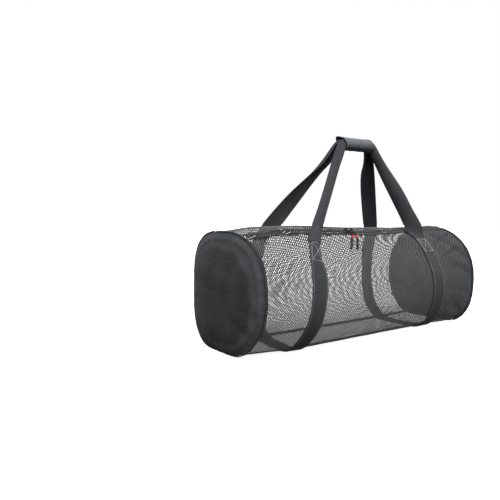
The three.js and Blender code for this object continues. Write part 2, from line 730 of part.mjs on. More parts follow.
// The places along a handle, finer where it bends.
function handleShares(lengths) {
  const { knee, leg, corner, grip } = HANDLE_STEPS;
  const steps = [knee, leg, corner, grip, corner, leg, knee];
  const total = lengths[lengths.length - 1];
  const shares = [0];
  lengths.forEach((to, i) => {
    const from = i ? lengths[i - 1] : 0;
    spaced(from, to, steps[i]).slice(1).forEach((s) => shares.push(s / total));
  });
  return shares;
}

function addHandle(name, way) {
  const { path, near, far, lengths } = handlePath(way);
  const total = lengths[lengths.length - 1];
  const legTo = [lengths[2], total - lengths[3]];
  const loops = handleShares(lengths).map((share) => {
    const s = share * total;
    const nearHalf = s < total / 2;
    const leg = nearHalf ? near : far;
    const legLength = nearHalf ? legTo[0] : legTo[1];
    const gone = nearHalf ? s : total - s;
    const rise = Math.min(1, gone / legLength);
    const table = LEGS[`${name}_${nearHalf ? 'near' : 'far'}`];
    const turn = follow(table, 'rise', 'turn', rise);
    const curl = Math.max(1, follow(table, 'rise', 'curl', rise));
    const run = path.getTangentAt(clamp(share, 1e-4, 1 - 1e-4));
    const tilt = leg.tilt.clone().lerp(new THREE.Vector3(0, 1, 0), smoothstep(rise, 0.85, 1));
    const flat = tilt.clone().cross(run).normalize();
    const upright = run.clone().cross(flat);
    const wide = flat.clone().multiplyScalar(cos(turn)).addScaledVector(upright, sin(turn));
    const seated = leg.across.clone().multiplyScalar(nearHalf ? 1 : -1);
    wide.lerp(seated, 1 - smoothstep(gone, 0, SEAT_LENGTH)).normalize();
    const inside = run.clone().cross(wide).normalize().multiplyScalar(-way);
    const radius = curlRadius(curl);
    const centre = path.getPointAt(share);
    const at = (j, depth) => {
      const turned = (j * curl) / 2;
      const r = radius + depth;
      const out = r * Math.sin(degToRad(turned));
      const deep = radius - r * Math.cos(degToRad(turned));
      return centre.clone().addScaledVector(wide, out).addScaledVector(inside, deep);
    };
    const outer = STRAP_SHARES.map((j) => at(j, WEB_THICKNESS / 2));
    const inner = STRAP_SHARES.map((j) => at(j, -WEB_THICKNESS / 2));
    return outer.concat(inner.reverse());
  });
  add(`handle_${name}`, 'web', loft(loops));
}

// The wrap is a padded sheet rolled once round both webs, its last part lapped over the first.
function addWrap() {
  const wide = GRIP_DEPTH + STRAP_GAP / 2 + WEB_THICKNESS / 2 + WRAP_CLEARANCE;
  const high = curlRadius(GRIP_CURL) + WEB_THICKNESS / 2 + WRAP_CLEARANCE;
  const turns = spaced(0, WRAP_TURN, WRAP_STEPS);
  const lap = (turned) => (WRAP_THICKNESS + GAP) * smoothstep(turned, WRAP_LAP_FROM, WRAP_LAP_TO);
  const loops = count(WRAP_STATIONS + 1).map((station) => {
    const share = station / WRAP_STATIONS;
    const mouth = WRAP_MOUTH * (2 * share - 1) ** 4;
    const flare = station ? 0 : WRAP_FLARE;
    const at = (turned, depth) => {
      const angle = WRAP_START + turned;
      const lean = Math.max(0, sin(angle - FLARE_TURN)) ** 3;
      const spread = flare * lean * smoothstep(turned, FLARE_FROM, FLARE_TO);
      const out = depth + lap(turned) + spread + mouth;
      const y = GRIP_Y - (wide + out) * cos(angle);
      const z = GRIP_HEIGHT + (high + out) * sin(angle);
      return new THREE.Vector3(GRIP_X + (share - 0.5) * GRIP_LENGTH, y, z);
    };
    const outer = turns.map((turned) => at(turned, WRAP_THICKNESS));
    const inner = turns.map((turned) => at(turned, 0));
    return outer.concat(inner.reverse());
  });
  add('grip_wrap', 'nylon', loft(loops));
}

addNet();
addSeamTapes();
addEnd('near', -1);
addEnd('far', 1);
addRing('near');
addRing('far');
addZip();
PULLS.forEach(addPull);
addHandle('front', -1);
addHandle('back', 1);
addWrap();

export default bag;
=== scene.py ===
# %% [markdown]
# # A mesh dive bag, dressed round its CAD frame
# A mesh duffel carries wet gear home: two slack nylon discs close a tube of open net, a
# web runs under the tube at each end and rises into two handles, and a padded wrap closes
# round both handles. The CAD frame gives every piece its place. This lesson makes the net
# as real strands, then the nylon, the webbing, the zip and the stitches that hold it all.
# All sizes below are millimetres, and turn to metres only where a mesh is made.

# %% Load the frame
import math

import bmesh
import bpy
import numpy as np
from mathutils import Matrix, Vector


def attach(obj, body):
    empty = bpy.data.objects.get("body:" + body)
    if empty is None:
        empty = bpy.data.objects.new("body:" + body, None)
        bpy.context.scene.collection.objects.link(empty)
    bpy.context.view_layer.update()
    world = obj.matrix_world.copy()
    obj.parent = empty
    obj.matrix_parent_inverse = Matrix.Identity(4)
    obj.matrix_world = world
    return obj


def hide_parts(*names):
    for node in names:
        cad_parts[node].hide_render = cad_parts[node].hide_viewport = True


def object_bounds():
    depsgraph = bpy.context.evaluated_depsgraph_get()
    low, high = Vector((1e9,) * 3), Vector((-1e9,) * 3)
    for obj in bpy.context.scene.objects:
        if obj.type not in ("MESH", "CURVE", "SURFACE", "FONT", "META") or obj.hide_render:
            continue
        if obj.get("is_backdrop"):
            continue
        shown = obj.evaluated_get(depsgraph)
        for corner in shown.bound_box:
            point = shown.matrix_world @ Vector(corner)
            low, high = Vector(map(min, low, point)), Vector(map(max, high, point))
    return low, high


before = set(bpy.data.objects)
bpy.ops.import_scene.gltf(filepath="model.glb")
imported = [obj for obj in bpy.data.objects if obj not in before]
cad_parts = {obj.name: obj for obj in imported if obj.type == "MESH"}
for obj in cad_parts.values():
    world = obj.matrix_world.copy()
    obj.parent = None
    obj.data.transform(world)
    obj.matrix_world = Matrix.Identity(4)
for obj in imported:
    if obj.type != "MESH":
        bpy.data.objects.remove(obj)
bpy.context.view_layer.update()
MM = 0.001

# %% [markdown]
# ## The camera and the light
# The bag is seen from its near end, a little above the floor. The camera is placed first,
# because every later choice is judged through it. One large soft lamp above and one on
# the right are how a catalogue lights grey cloth: hardly a shadow, and a shade darker
# wherever the cloth turns down or faces the left. The world is white only on the side that
# the photograph looks towards. The rest of it is darker, like a studio behind the
# photographer, and stays fixed in space, so a view from behind has a grey backdrop.

# %% Camera
camera = bpy.data.objects.new("camera", bpy.data.cameras.new("camera"))
bpy.context.collection.objects.link(camera)
camera.data.sensor_width = 36
camera.data.lens = 38.33
camera.location = (-1.138, -1.110, 0.368)
yaw, pitch = math.radians(35.73), math.radians(-4.32)
sight = Vector((math.sin(yaw) * math.cos(pitch), math.cos(yaw) * math.cos(pitch), math.sin(pitch)))
camera.rotation_mode = "QUATERNION"
camera.rotation_quaternion = sight.to_track_quat("-Z", "Y")
bpy.context.scene.camera = camera
bpy.context.scene.view_settings.view_transform = "Standard"

# %% A function for colour, and one that adds a node
def linear(hex_colour):
    """An sRGB hex colour as linear RGBA."""
    parts = [int(hex_colour[i : i + 2], 16) / 255 for i in (1, 3, 5)]
    return (*[p / 12.92 if p <= 0.04045 else ((p + 0.055) / 1.055) ** 2.4 for p in parts], 1.0)


def add(tree, kind, inputs=(), **settings):
    """Adds one node with its settings, and sets or links each of its inputs."""
    made = tree.nodes.new(kind)
    for name, value in settings.items():
        setattr(made, name, value)
    for place, value in dict(inputs).items():
        socket = made.inputs[place]
        if isinstance(value, bpy.types.NodeSocket):
            tree.links.new(value, socket)
        else:
            socket.default_value = value
    return made

# %% World, lamps and floor
world = bpy.data.worlds.new("studio")
bpy.context.scene.world = world
world.use_nodes = True
sky = world.node_tree
direction = add(sky, "ShaderNodeTexCoord").outputs["Generated"]
ahead = add(sky, "ShaderNodeVectorMath", {0: direction, 1: sight}, operation="DOT_PRODUCT").outputs["Value"]
room = add(
    sky,
    "ShaderNodeMapRange",
    {"Value": ahead, "From Min": 0.2, "From Max": 0.7, "To Min": 0.22, "To Max": 1.0},
)
height = add(sky, "ShaderNodeSeparateXYZ", {"Vector": direction}).outputs["Z"]
low = add(
    sky,
    "ShaderNodeMapRange",
    {"Value": height, "From Min": -0.08, "From Max": -0.05, "To Min": 0.12, "To Max": 1.0},
)
both = {0: room.outputs["Result"], 1: low.outputs["Result"]}
level = add(sky, "ShaderNodeMath", both, operation="MULTIPLY")
sky.links.new(level.outputs[0], sky.nodes["Background"].inputs["Strength"])
sky.nodes["Background"].inputs["Color"].default_value = linear("#ffffff")


def lamp(name, towards, spread, strength):
    """A soft light from one side of the whole room, as wide as a spread in degrees."""
    data = bpy.data.lights.new(name, "SUN")
    data.angle, data.energy = math.radians(spread), strength
    made = bpy.data.objects.new(name, data)
    made.rotation_mode = "QUATERNION"
    made.rotation_quaternion = Vector(towards).to_track_quat("-Z", "Y")
    bpy.context.collection.objects.link(made)
    print("lamp", name, strength)


lamp("key_lamp", (0.3, 0.6, -0.74), 60, 4.0)
lamp("right_lamp", (-1, 0.3, -0.4), 50, 0.5)

# %% [markdown]
# ## The body's shape
# The tube is round, pressed flat where it stands, a little lower at one end, and dented
# where the slack net gives. All of that is a rule, the same one as in the CAD frame: the
# point at a place x along the bag and an angle round it, 0 at the front and 90 on top.
# The frame carries the broad dents. The fine creases are added here, because they are
# too small for its faces: each is a line on the net, with a width and a depth.

# %% Sizes that the cloth shares with the frame
NET_END, BODY_WIDTH, BODY_HEIGHT = 412.0, 322.0, 315.0
FLOOR_BASE, FLOOR_PRESS, FLOOR_CORNER, END_LIFT = 2.7, 20.0, 12.0, 8.0
DENT_DEPTH, END_BULGE, END_ROUNDNESS, END_DROOP = 8.0, 22.0, 3.2, 0.35
FRONT_SEAM, BACK_SEAM = -69.64, -119.79
MM_PER_DEGREE = math.radians(BODY_WIDTH / 2)
WEB_WIDTH, WEB_THICKNESS, WEB_GAP = 50.0, 2.0, 0.7
SECTIONS = {
    "at": [-1.0, -0.82, -0.6, -0.35, 0.0, 0.35, 0.6, 0.84, 1.0],
    "wide": [1.0, 1.0, 1.0, 1.0, 1.0, 1.0, 1.0, 1.005, 1.02],
    "crown": [0.99, 1.028, 1.036, 1.032, 1.006, 0.998, 0.994, 0.996, 0.986],
    "press": [0.3, 0.6, 0.9, 0.95, 1.0, 1.0, 1.0, 0.95, 0.7],
    "lift": [0.2, 0.2, 0.0, 0.0, 0.0, 0.0, 0.0, 0.1, 0.3],
    "zip": [66.0, 67.0, 68.0, 67.0, 66.0, 69.0, 73.0, 76.0, 76.0],
}
# how far each corner of the section fills out
CORNERS = {
    "at": [-1.0, -0.82, -0.6, -0.35, 0.74, 0.87, 1.0],
    "top_front": [0.06, 0.03, 0.007, 0.0, 0.0, 0.01, 0.03],
    "top_back": [0.09, 0.047, 0.01, 0.0, 0.0, 0.015, 0.04],
    "low_front": [-0.034, -0.018, 0.0, 0.0, 0.0, 0.04, 0.09],
    "low_back": [0.153, 0.08, 0.018, 0.0, 0.0, 0.03, 0.06],
}
# at, angle, long, wide, depth
DENTS = [
    (-0.8, 62, 0.15, 17, 0.7),
    (-0.42, 50, 0.16, 20, 0.9),
    (-0.8, -8, 0.14, 28, 0.35),
    (0.1, -25, 0.35, 24, 0.4),
    (0.78, 48, 0.14, 20, 0.7),
    (0.1, 125, 0.3, 26, -0.4),
    (-1.05, 132, 0.13, 22, -1.1),
]


def follow(table, place, column, at):
    """A smooth curve through one column of a table, level where the column turns back."""
    places, values = np.array(table[place], float), np.array(table[column], float)
    gaps, rises = np.diff(places), np.diff(values)
    slopes = np.empty_like(values)
    slopes[0], slopes[-1] = rises[0] / gaps[0], rises[-1] / gaps[-1]
    middle = (values[2:] - values[:-2]) / (places[2:] - places[:-2])
    slopes[1:-1] = np.where(rises[:-1] * rises[1:] <= 0, 0, middle)
    at = np.clip(at, places[0], places[-1])
    k = np.clip(np.searchsorted(places, at) - 1, 0, len(gaps) - 1)
    t = (at - places[k]) / gaps[k]
    bend = (1 - t) * (slopes[k] * gaps[k] - rises[k]) + t * (rises[k] - slopes[k + 1] * gaps[k])
    return values[k] + t * rises[k] + t * (1 - t) * bend


def section(column, x):
    return follow(SECTIONS, "at", column, np.asarray(x, float) / NET_END)


def smooth(value, low, high):
    """0 below low, 1 above high, and a smooth step between."""
    t = np.clip((np.asarray(value, float) - low) / (high - low), 0, 1)
    return t * t * (3 - 2 * t)


def round_body(angle):
    """The same angle, in the turn that starts at the back seam."""
    return (np.asarray(angle, float) - BACK_SEAM + 1e-9) % 360 + BACK_SEAM - 1e-9

# %% The skin
# from x and angle, to x and angle, half width, depth inwards (a ridge is negative)
CREASES = [
    (-400, 66, -236, 47, 7, 11.0),
    (-392, 50, -300, 66, 6, 6.0),
    (-340, 74, -236, 62, 7, 7.0),
    (-310, 58, -262, 78, 6, 5.0),
    (-190, 46, -120, 66, 7, 5.0),
    (-196, 30, -120, 58, 6, 5.0),
    (-190, 12, -90, 50, 7, 4.5),
    (262, 44, 400, 62, 7, 5.0),
    (290, 70, 408, 20, 13, 7.0),
    (300, 24, 404, 6, 11, 5.0),
    (296, -14, 404, -44, 12, 4.0),
    (-150, 80, -70, 58, 5, 3.0),
    (20, 84, 120, 62, 6, 3.5),
    (90, 60, 200, 84, 6, 3.5),
    (270, 28, 400, 40, 7, 5.0),
    (-398, 20, -300, 48, 9, 3.0),
    (-400, -2, -290, 34, 8, 3.2),
    (-396, -22, -282, 18, 9, 3.0),
    (-385, -40, -285, -2, 8, 2.6),
    (-360, -48, -280, -24, 9, 2.4),
    (-398, 40, -330, 58, 7, 3.0),
    (-360, 52, -275, 47, 8, 5.0),
    (-398, 60, -300, 53, 7, 4.0),
    (-205, 30, -150, 46, 8, 2.6),
    (-208, 8, -120, 40, 9, 2.2),
    (-210, -14, -60, 30, 11, 2.0),
    (-205, -34, -20, 10, 12, 2.0),
    (-150, -46, 60, -6, 12, 2.0),
    (-60, -50, 140, -8, 12, 2.0),
    (30, -36, 200, 22, 12, 1.8),
    (60, -54, 215, -14, 10, 2.0),
    (-140, 20, -10, 52, 10, 1.6),
    (0, 0, 130, 44, 11, 1.6),
    (-208, -46, 215, -50, 9, 2.6),
    (285, 36, 400, 40, 7, 2.6),
    (285, 18, 400, 14, 8, 3.0),
    (285, -4, 400, -12, 8, 3.0),
    (290, -26, 400, -36, 8, 2.6),
    (-380, 110, -280, 150, 11, 2.6),
    (-200, 100, -40, 160, 13, 2.0),
    (-60, 96, 120, 170, 13, 2.0),
    (80, 100, 230, 160, 12, 2.0),
    (290, 120, 400, 160, 10, 2.4),
    (-200, 190, 0, 150, 13, 2.0),
    (20, 200, 210, 160, 12, 2.0),
]


def creased(x, angle):
    """How far the fine creases lie in, in mm."""
    around = round_body(angle)
    depth = np.zeros(np.broadcast(x, around).shape)
    for x0, a0, x1, a1, half, deep in CREASES:
        run = np.array([x1 - x0, (a1 - a0) * MM_PER_DEGREE])
        length = np.hypot(*run)
        px, py = x - x0, (around - a0) * MM_PER_DEGREE
        along = (px * run[0] + py * run[1]) / length
        aside = (py * run[0] - px * run[1]) / length
        shape = np.exp(-((aside / half) ** 2)) - 0.45 * np.exp(-(((aside - 1.6 * half) / half) ** 2))
        ends = smooth(along / length, -0.06, 0.22) * (1 - smooth(along / length, 0.75, 1.08))
        depth += deep * shape * ends
    ripple = 0.7 * np.sin(x / 31 + around / 9) * np.sin(x / 47 - around / 14 + 1)
    near_end = 1 - smooth(np.abs(x), NET_END - 26, NET_END - 6)
    near_floor = 1 - smooth(-np.sin(np.radians(around)), 0.86, 0.97)
    return (depth + ripple) * near_end * near_floor


def pressed(z):
    """The floor presses the round section flat, with a soft corner."""
    corner = (z + FLOOR_CORNER) ** 2 / (4 * FLOOR_CORNER)
    return np.where(z <= -FLOOR_CORNER, 0, np.where(z >= FLOOR_CORNER, z, corner))


def skin(x, angle, fine=True):
    """The net's outer face at a place and an angle, in mm."""
    x, angle = np.broadcast_arrays(np.asarray(x, float), round_body(angle))
    a = np.radians(angle)
    wide = section("wide", x) * BODY_WIDTH / 2
    press = section("press", x) * FLOOR_PRESS
    top = section("crown", x) * BODY_HEIGHT - FLOOR_BASE
    lift = section("lift", x) * END_LIFT
    corner = {name: follow(CORNERS, "at", name, x / NET_END) for name in list(CORNERS)[1:]}
    upper = np.where(np.cos(a) > 0, corner["top_front"], corner["top_back"])
    lower = np.where(np.cos(a) > 0, corner["low_front"], corner["low_back"])
    full = 1 + np.where(np.sin(a) > 0, upper, lower) * np.sin(2 * a) ** 2
    z = pressed((top - press) / 2 + full * (top + press) / 2 * np.sin(a))
    sag = np.zeros_like(x)
    for at, middle, long, broad, depth in DENTS:
        away = np.hypot((x / NET_END - at) / (2 * long), (angle - middle) / (2 * broad))
        sag = sag + depth * DENT_DEPTH * (1 - smooth(away, 0, 1))
    if fine:
        sag = sag + np.maximum(creased(x, angle), 0)
    y = -(full * wide - sag) * np.cos(a)
    return np.stack([x, y, z * (1 - lift / top) + lift + FLOOR_BASE - sag * np.sin(a)], -1)


def unit(v):
    return v / np.maximum(np.linalg.norm(v, axis=-1, keepdims=True), 1e-12)


def outward(x, angle, fine=True):
    along = skin(x + 0.5, angle, fine) - skin(x - 0.5, angle, fine)
    about = skin(x, angle + 0.2, fine) - skin(x, angle - 0.2, fine)
    return unit(np.cross(along, about))


def on_skin(x, angle, height, fine=False):
    x, angle = np.broadcast_arrays(np.asarray(x, float), np.asarray(angle, float))
    return skin(x, angle, fine) + outward(x, angle, fine) * np.asarray(height, float)[..., None]


print("front of the skin", skin(0, 0).round(1), "facing", outward(0, 0).round(2))

# %% [markdown]
# ## Three ways to make a mesh
# Sheets of cloth are grids of points, straps and cords are loops of points joined along a
# path, and everything that repeats is grown by a Geometry Nodes tree. The two helpers here
# make the first two, with a UV map in metres, so that a weave keeps its scale and follows
# the cloth. A third helper runs a tree on a piece and keeps the plain mesh that it made.

# %% Meshes from grids and loops
def make_piece(name, points, faces, material, uvs=None, shade=True):
    """A mesh object from points in mm, with one UV per face corner, in metres."""
    mesh = bpy.data.meshes.new(name)
    mesh.from_pydata((np.asarray(points, float) * MM).tolist(), [], [list(f) for f in faces])
    if uvs is not None:
        layer = mesh.uv_layers.new(name="cloth")
        layer.data.foreach_set("uv", np.asarray(uvs, np.float32).ravel())
    mesh.polygons.foreach_set("use_smooth", [shade] * len(mesh.polygons))
    if material:
        mesh.materials.append(material)
    mesh.validate()
    made = bpy.data.objects.new(name, mesh)
    bpy.context.collection.objects.link(made)
    return made


def grid_faces(rows, columns, joined_rows=False, joined_columns=False):
    """The quads of a grid, and the row and column of each of their corners."""
    faces, corners = [], []
    for i in range(rows if joined_rows else rows - 1):
        for j in range(columns if joined_columns else columns - 1):
            square = [(i, j), (i + 1, j), (i + 1, j + 1), (i, j + 1)]
            faces.append([(a % rows) * columns + b % columns for a, b in square])
            corners += square
    return faces, corners


def travelled(points):
    """The distance along a line of points, from its start."""
    steps = np.linalg.norm(np.diff(points, axis=0), axis=1)
    return np.concatenate([[0], np.cumsum(steps)])


def loft(name, loops, material, joined=False, ladder=False):
    """A closed solid through loops of points, its UV running along it and round it."""
    loops = np.asarray(loops, float)
    n, m = loops.shape[:2]
    faces, corners = grid_faces(n, m, joined, True)
    along = travelled(np.vstack([loops.mean(1), loops[:1].mean(1)]))
    about = travelled(np.vstack([loops[n // 2], loops[n // 2][:1]]))
    uvs = [(along[i] * MM, about[j] * MM) for i, j in corners]
    if not joined:
        last = (n - 1) * m
        if ladder:
            for j in range(m // 2 - 1):
                faces.append([j, j + 1, m - 2 - j, m - 1 - j])
                faces.append([last + j + 1, last + j, last + m - 1 - j, last + m - 2 - j])
        else:
            faces.append(list(range(m)))
            faces.append([last + j for j in reversed(range(m))])
        for face in faces[(n - 1) * m :]:
            uvs += [(along[0 if k < last else n - 1] * MM, about[k % m] * MM) for k in face]
    made = make_piece(name, loops.reshape(-1, 3), faces, material, uvs)
    face_out(made)
    return made


def face_out(piece):
    """Turns all faces over where the closed piece's volume comes out negative."""
    shape = bmesh.new()
    shape.from_mesh(piece.data)
    if shape.calc_volume(signed=True) < 0:
        bmesh.ops.reverse_faces(shape, faces=shape.faces)
        shape.to_mesh(piece.data)
    shape.free()


def settle(piece, slot, *stands_for):
    """The piece rides on the bag and stands for its CAD solids; slot is not used."""
    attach(piece, "root")
    if stands_for:
        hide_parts(*stands_for)
    print(f"{piece.name}: {len(piece.data.polygons)} faces")
    return piece

# %% A tree's result as a plain mesh
def grow(name, source, tree, settings, material):
    """Runs a Geometry Nodes tree on a helper object and keeps the mesh it made."""
    modifier = source.modifiers.new("grow", "NODES")
    modifier.node_group = tree
    sockets = {s.name: s.identifier for s in tree.interface.items_tree if s.in_out == "INPUT"}
    for label, value in {**settings, "Material": material}.items():
        modifier[sockets[label]] = value
    bpy.context.view_layer.update()
    evaluated = source.evaluated_get(bpy.context.evaluated_depsgraph_get())
    mesh = bpy.data.meshes.new_from_object(evaluated)
    mesh.name = name
    bpy.data.objects.remove(source)
    made = bpy.data.objects.new(name, mesh)
    bpy.context.collection.objects.link(made)
    return made


def new_tree(name, sizes):
    """An empty tree with a geometry in and out, and one named input for each size."""
    tree = bpy.data.node_groups.new(name, "GeometryNodeTree")
    tree.interface.new_socket("Geometry", in_out="INPUT", socket_type="NodeSocketGeometry")
    for label, (kind, value) in sizes.items():
        made = tree.interface.new_socket(label, in_out="INPUT", socket_type=f"NodeSocket{kind}")
        if value is not None:
            made.default_value = value
    tree.interface.new_socket("Geometry", in_out="OUTPUT", socket_type="NodeSocketGeometry")
    start = tree.nodes.new("NodeGroupInput")
    return tree, start.outputs

# %% [markdown]
# ## The finishes
# Seven cloths, two rubbers, a metal and two threads make the whole bag. Each is a
# Principled shader whose colour is varied by slow noise, as dye and wear vary it, and
# whose bump is the weave at its real pitch. Cloth gets sheen, because its fibres catch
# light at the edge of every curve, and that soft pale edge is what tells it from plastic.

# %% The pattern parts that cloths share
def cloth_material(name, shade, dark, roughness, sheen=0.0, **shader):
    """A material and its Principled node, coloured between two shades by slow noise."""
    material = bpy.data.materials.new(name)
    material.use_nodes = True
    tree = material.node_tree
    body = tree.nodes["Principled BSDF"]
    place = add(tree, "ShaderNodeTexCoord")
    cloud = add(tree, "ShaderNodeTexNoise", {"Vector": place.outputs["Object"], "Scale": 14.0, "Detail": 5.0})
    clouded = {"Value": cloud.outputs["Fac"], "From Min": 0.3, "From Max": 0.7}
    spread = add(tree, "ShaderNodeMapRange", clouded)
    mixed = add(
        tree,
        "ShaderNodeMix",
        {0: spread.outputs["Result"], 6: linear(dark), 7: linear(shade)},
        data_type="RGBA",
    )
    tree.links.new(mixed.outputs[2], body.inputs["Base Color"])
    body.inputs["Roughness"].default_value = roughness
    body.inputs["Sheen Weight"].default_value = sheen
    body.inputs["Specular IOR Level"].default_value = 0.2 if sheen else 0.5
    for label, value in shader.items():
        body.inputs[label.replace("_", " ")].default_value = value
    return material, tree, body, place


def bump(tree, body, height, strength, distance, before=None):
    """Adds a bump of a real height in mm."""
    inputs = {"Height": height, "Strength": strength, "Distance": distance * MM}
    if before is not None:
        inputs["Normal"] = before.outputs["Normal"]
    made = add(tree, "ShaderNodeBump", inputs)
    tree.links.new(made.outputs["Normal"], body.inputs["Normal"])
    return made


def threads(tree, vector, pitch, direction):
    """Bands across one axis of a vector in metres, one for each thread."""
    return add(
        tree,
        "ShaderNodeTexWave",
        {"Vector": vector, "Scale": math.tau / 20 / (pitch * MM)},
        bands_direction=direction,
        wave_profile="SIN",
    ).outputs["Fac"]


def woven(tree, vector, pitch_x, pitch_y):
    """The height of a plain weave: the higher of the warp and weft bands."""
    warp, weft = threads(tree, vector, pitch_x, "X"), threads(tree, vector, pitch_y, "Y")
    return add(tree, "ShaderNodeMath", {0: warp, 1: weft}, operation="MAXIMUM").outputs[0]

# %% The net's polyester
# Warp-knitted polyester yarn: dull, fibrous, a warm dark grey that looks light only
# because half of what is seen is the white room behind it.
net_yarn, tree, body, place = cloth_material("knitted_polyester_net", "#636466", "#545558", 0.62, 0.1)
fuzz = add(tree, "ShaderNodeTexNoise", {"Vector": place.outputs["Object"], "Scale": 1400.0, "Detail": 2.0})
bump(tree, body, fuzz.outputs["Fac"], 0.5, 0.3)

# %% Coated nylon, for the end panels and the grip
# Pack cloth, woven in a plain weave of 0.6 mm yarn and coated behind: it mottles softly.
# The weave is drawn at 1.6 mm so that it shows. On the end discs a painted highlight
# turns its grey paler in patches: round the rim and along the far disc's folds.
def pack_cloth(name, shade, dark, sheen):
    material, tree, body, place = cloth_material(name, shade, dark, 0.58, sheen)
    uv = add(tree, "ShaderNodeUVMap", uv_map="cloth")
    weave = bump(tree, body, woven(tree, uv.outputs["UV"], 1.6, 1.6), 0.5, 0.25)
    blotches = {"Vector": place.outputs["Object"], "Scale": 60.0, "Detail": 7.0}
    blotch = add(tree, "ShaderNodeTexNoise", blotches)
    bump(tree, body, blotch.outputs["Fac"], 0.8, 2.4, weave)
    # Painted highlight: the attribute read here, broken up by the blotches, mixes in a paler grey.
    painted_light_amount = add(tree, "ShaderNodeAttribute", attribute_name="painted_highlight").outputs["Fac"]
    uneven = add(tree, "ShaderNodeMapRange", {"Value": blotch.outputs["Fac"], "To Min": 0.25, "To Max": 0.95})
    patches = {0: painted_light_amount, 1: uneven.outputs["Result"]}
    patchy_painted_light = add(tree, "ShaderNodeMath", patches, operation="MULTIPLY").outputs[0]
    grey = body.inputs["Base Color"].links[0].from_socket
    highlight_mix = add(tree, "ShaderNodeMix", {0: patchy_painted_light, 6: grey, 7: linear("#55565a")}, data_type="RGBA")
    tree.links.new(highlight_mix.outputs[2], body.inputs["Base Color"])
    return material


end_nylon = pack_cloth("coated_nylon_pack_cloth", "#3a3b3e", "#303134", 0.05)
grip_cloth = pack_cloth("padded_nylon_grip", "#707275", "#626467", 0.1)

# %% Nylon webbing
# Woven flat on a needle loom: fine ribs run along it, and the weft shows as a row of
# small chevrons. Both are drawn, the ribs at 2.4 mm and the weft at 1.8 mm.
webbing, tree, body, place = cloth_material("woven_nylon_webbing", "#3f4043", "#353639", 0.7, 0.06)
uv = add(tree, "ShaderNodeUVMap", uv_map="cloth")
split = add(tree, "ShaderNodeSeparateXYZ", {"Vector": uv.outputs["UV"]})
zigzag = add(tree, "ShaderNodeMath", {0: split.outputs["Y"], 1: 2.4 * MM}, operation="PINGPONG")
shifted = add(tree, "ShaderNodeMath", {0: split.outputs["X"], 1: zigzag.outputs[0]}, operation="ADD")
slanted = add(tree, "ShaderNodeCombineXYZ", {"X": shifted.outputs[0], "Y": split.outputs["Y"]})
bump(tree, body, woven(tree, slanted.outputs[0], 1.8, 2.4), 0.7, 0.3)

# %% Tapes, coil, cord and threads
binding_tape, tree, body, place = cloth_material("grosgrain_binding_tape", "#2c2d2f", "#222325", 0.75, 0.2)
uv = add(tree, "ShaderNodeUVMap", uv_map="cloth")
bump(tree, body, threads(tree, uv.outputs["UV"], 1.5, "X"), 0.6, 0.25)
zip_cloth, tree, body, place = cloth_material("woven_zip_tape", "#303133", "#252628", 0.72, 0.2)
uv = add(tree, "ShaderNodeUVMap", uv_map="cloth")
bump(tree, body, woven(tree, uv.outputs["UV"], 1.3, 1.3), 0.5, 0.2)
coil_nylon, tree, body, place = cloth_material("extruded_nylon_coil", "#232426", "#1b1c1e", 0.35)
cord_braid, tree, body, place = cloth_material("braided_polyester_cord", "#26272a", "#1a1b1d", 0.7, 0.2)
uv = add(tree, "ShaderNodeUVMap", uv_map="cloth")
bump(tree, body, woven(tree, uv.outputs["UV"], 1.0, 1.0), 0.8, 0.3)
grey_thread, tree, body, place = cloth_material("bonded_thread_grey", "#a5a7a9", "#939597", 0.5, 0.2)
black_thread, tree, body, place = cloth_material("bonded_thread_black", "#2a2b2d", "#1f2022", 0.5, 0.2)
piping_cloth, tree, body, place = cloth_material("woven_piping_light_grey", "#97999c", "#85878a", 0.7, 0.2)

# %% Rubber and metal
# The collars and the pull sleeves are injection-moulded rubber, satin and even. The
# sliders are die-cast zinc, painted dark and rubbed bright on their edges by use.
red_rubber, tree, body, place = cloth_material("moulded_rubber_red", "#d8241c", "#c01d17", 0.38)
black_rubber, tree, body, place = cloth_material("moulded_rubber_black", "#2b2c2e", "#222325", 0.5)
slider_zinc, tree, body, place = cloth_material(
    "painted_zinc_slider", "#6d7074", "#55585c", 0.32, Metallic=0.85
)
grain = add(tree, "ShaderNodeTexNoise", {"Vector": place.outputs["Object"], "Scale": 900.0, "Detail": 3.0})
bump(tree, body, grain.outputs["Fac"], 0.3, 0.1)
floor_paint, tree, body, place = cloth_material("matt_floor_paint", "#fafafa", "#f8f8f8", 0.9)
body.inputs["Emission Color"].default_value = linear("#ffffff")
body.inputs["Emission Strength"].default_value = 0.85
print("materials", len(bpy.data.materials))

# %% The floor
floor = make_piece(
    "floor",
    [(-9000, -9000, 0), (9000, -9000, 0), (9000, 9000, 0), (-9000, 9000, 0)],
    [(0, 1, 2, 3)],
    floor_paint,
)
floor.visible_diffuse = floor.visible_glossy = False
floor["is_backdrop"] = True

# %% [markdown]
# ## The net
# The net is a knitted lattice of square holes that stand on their corners. It could be a
# transparent image, a grid with its faces cut out, or real strands. Strands are chosen:
# two families of lines cross at 45 degrees, each line follows the cloth in long steps and
# ends exactly on the panel's edge, so the holes are real from every side and the mesh
# stays light. The tree draws the lines flat, on the panel as it was cut, and then lays
# each point on the bent cloth by looking up the cloth's own UV map.
#
# The real holes are about 3 mm wide. The pitch here is 5.2 mm, so that they still show.

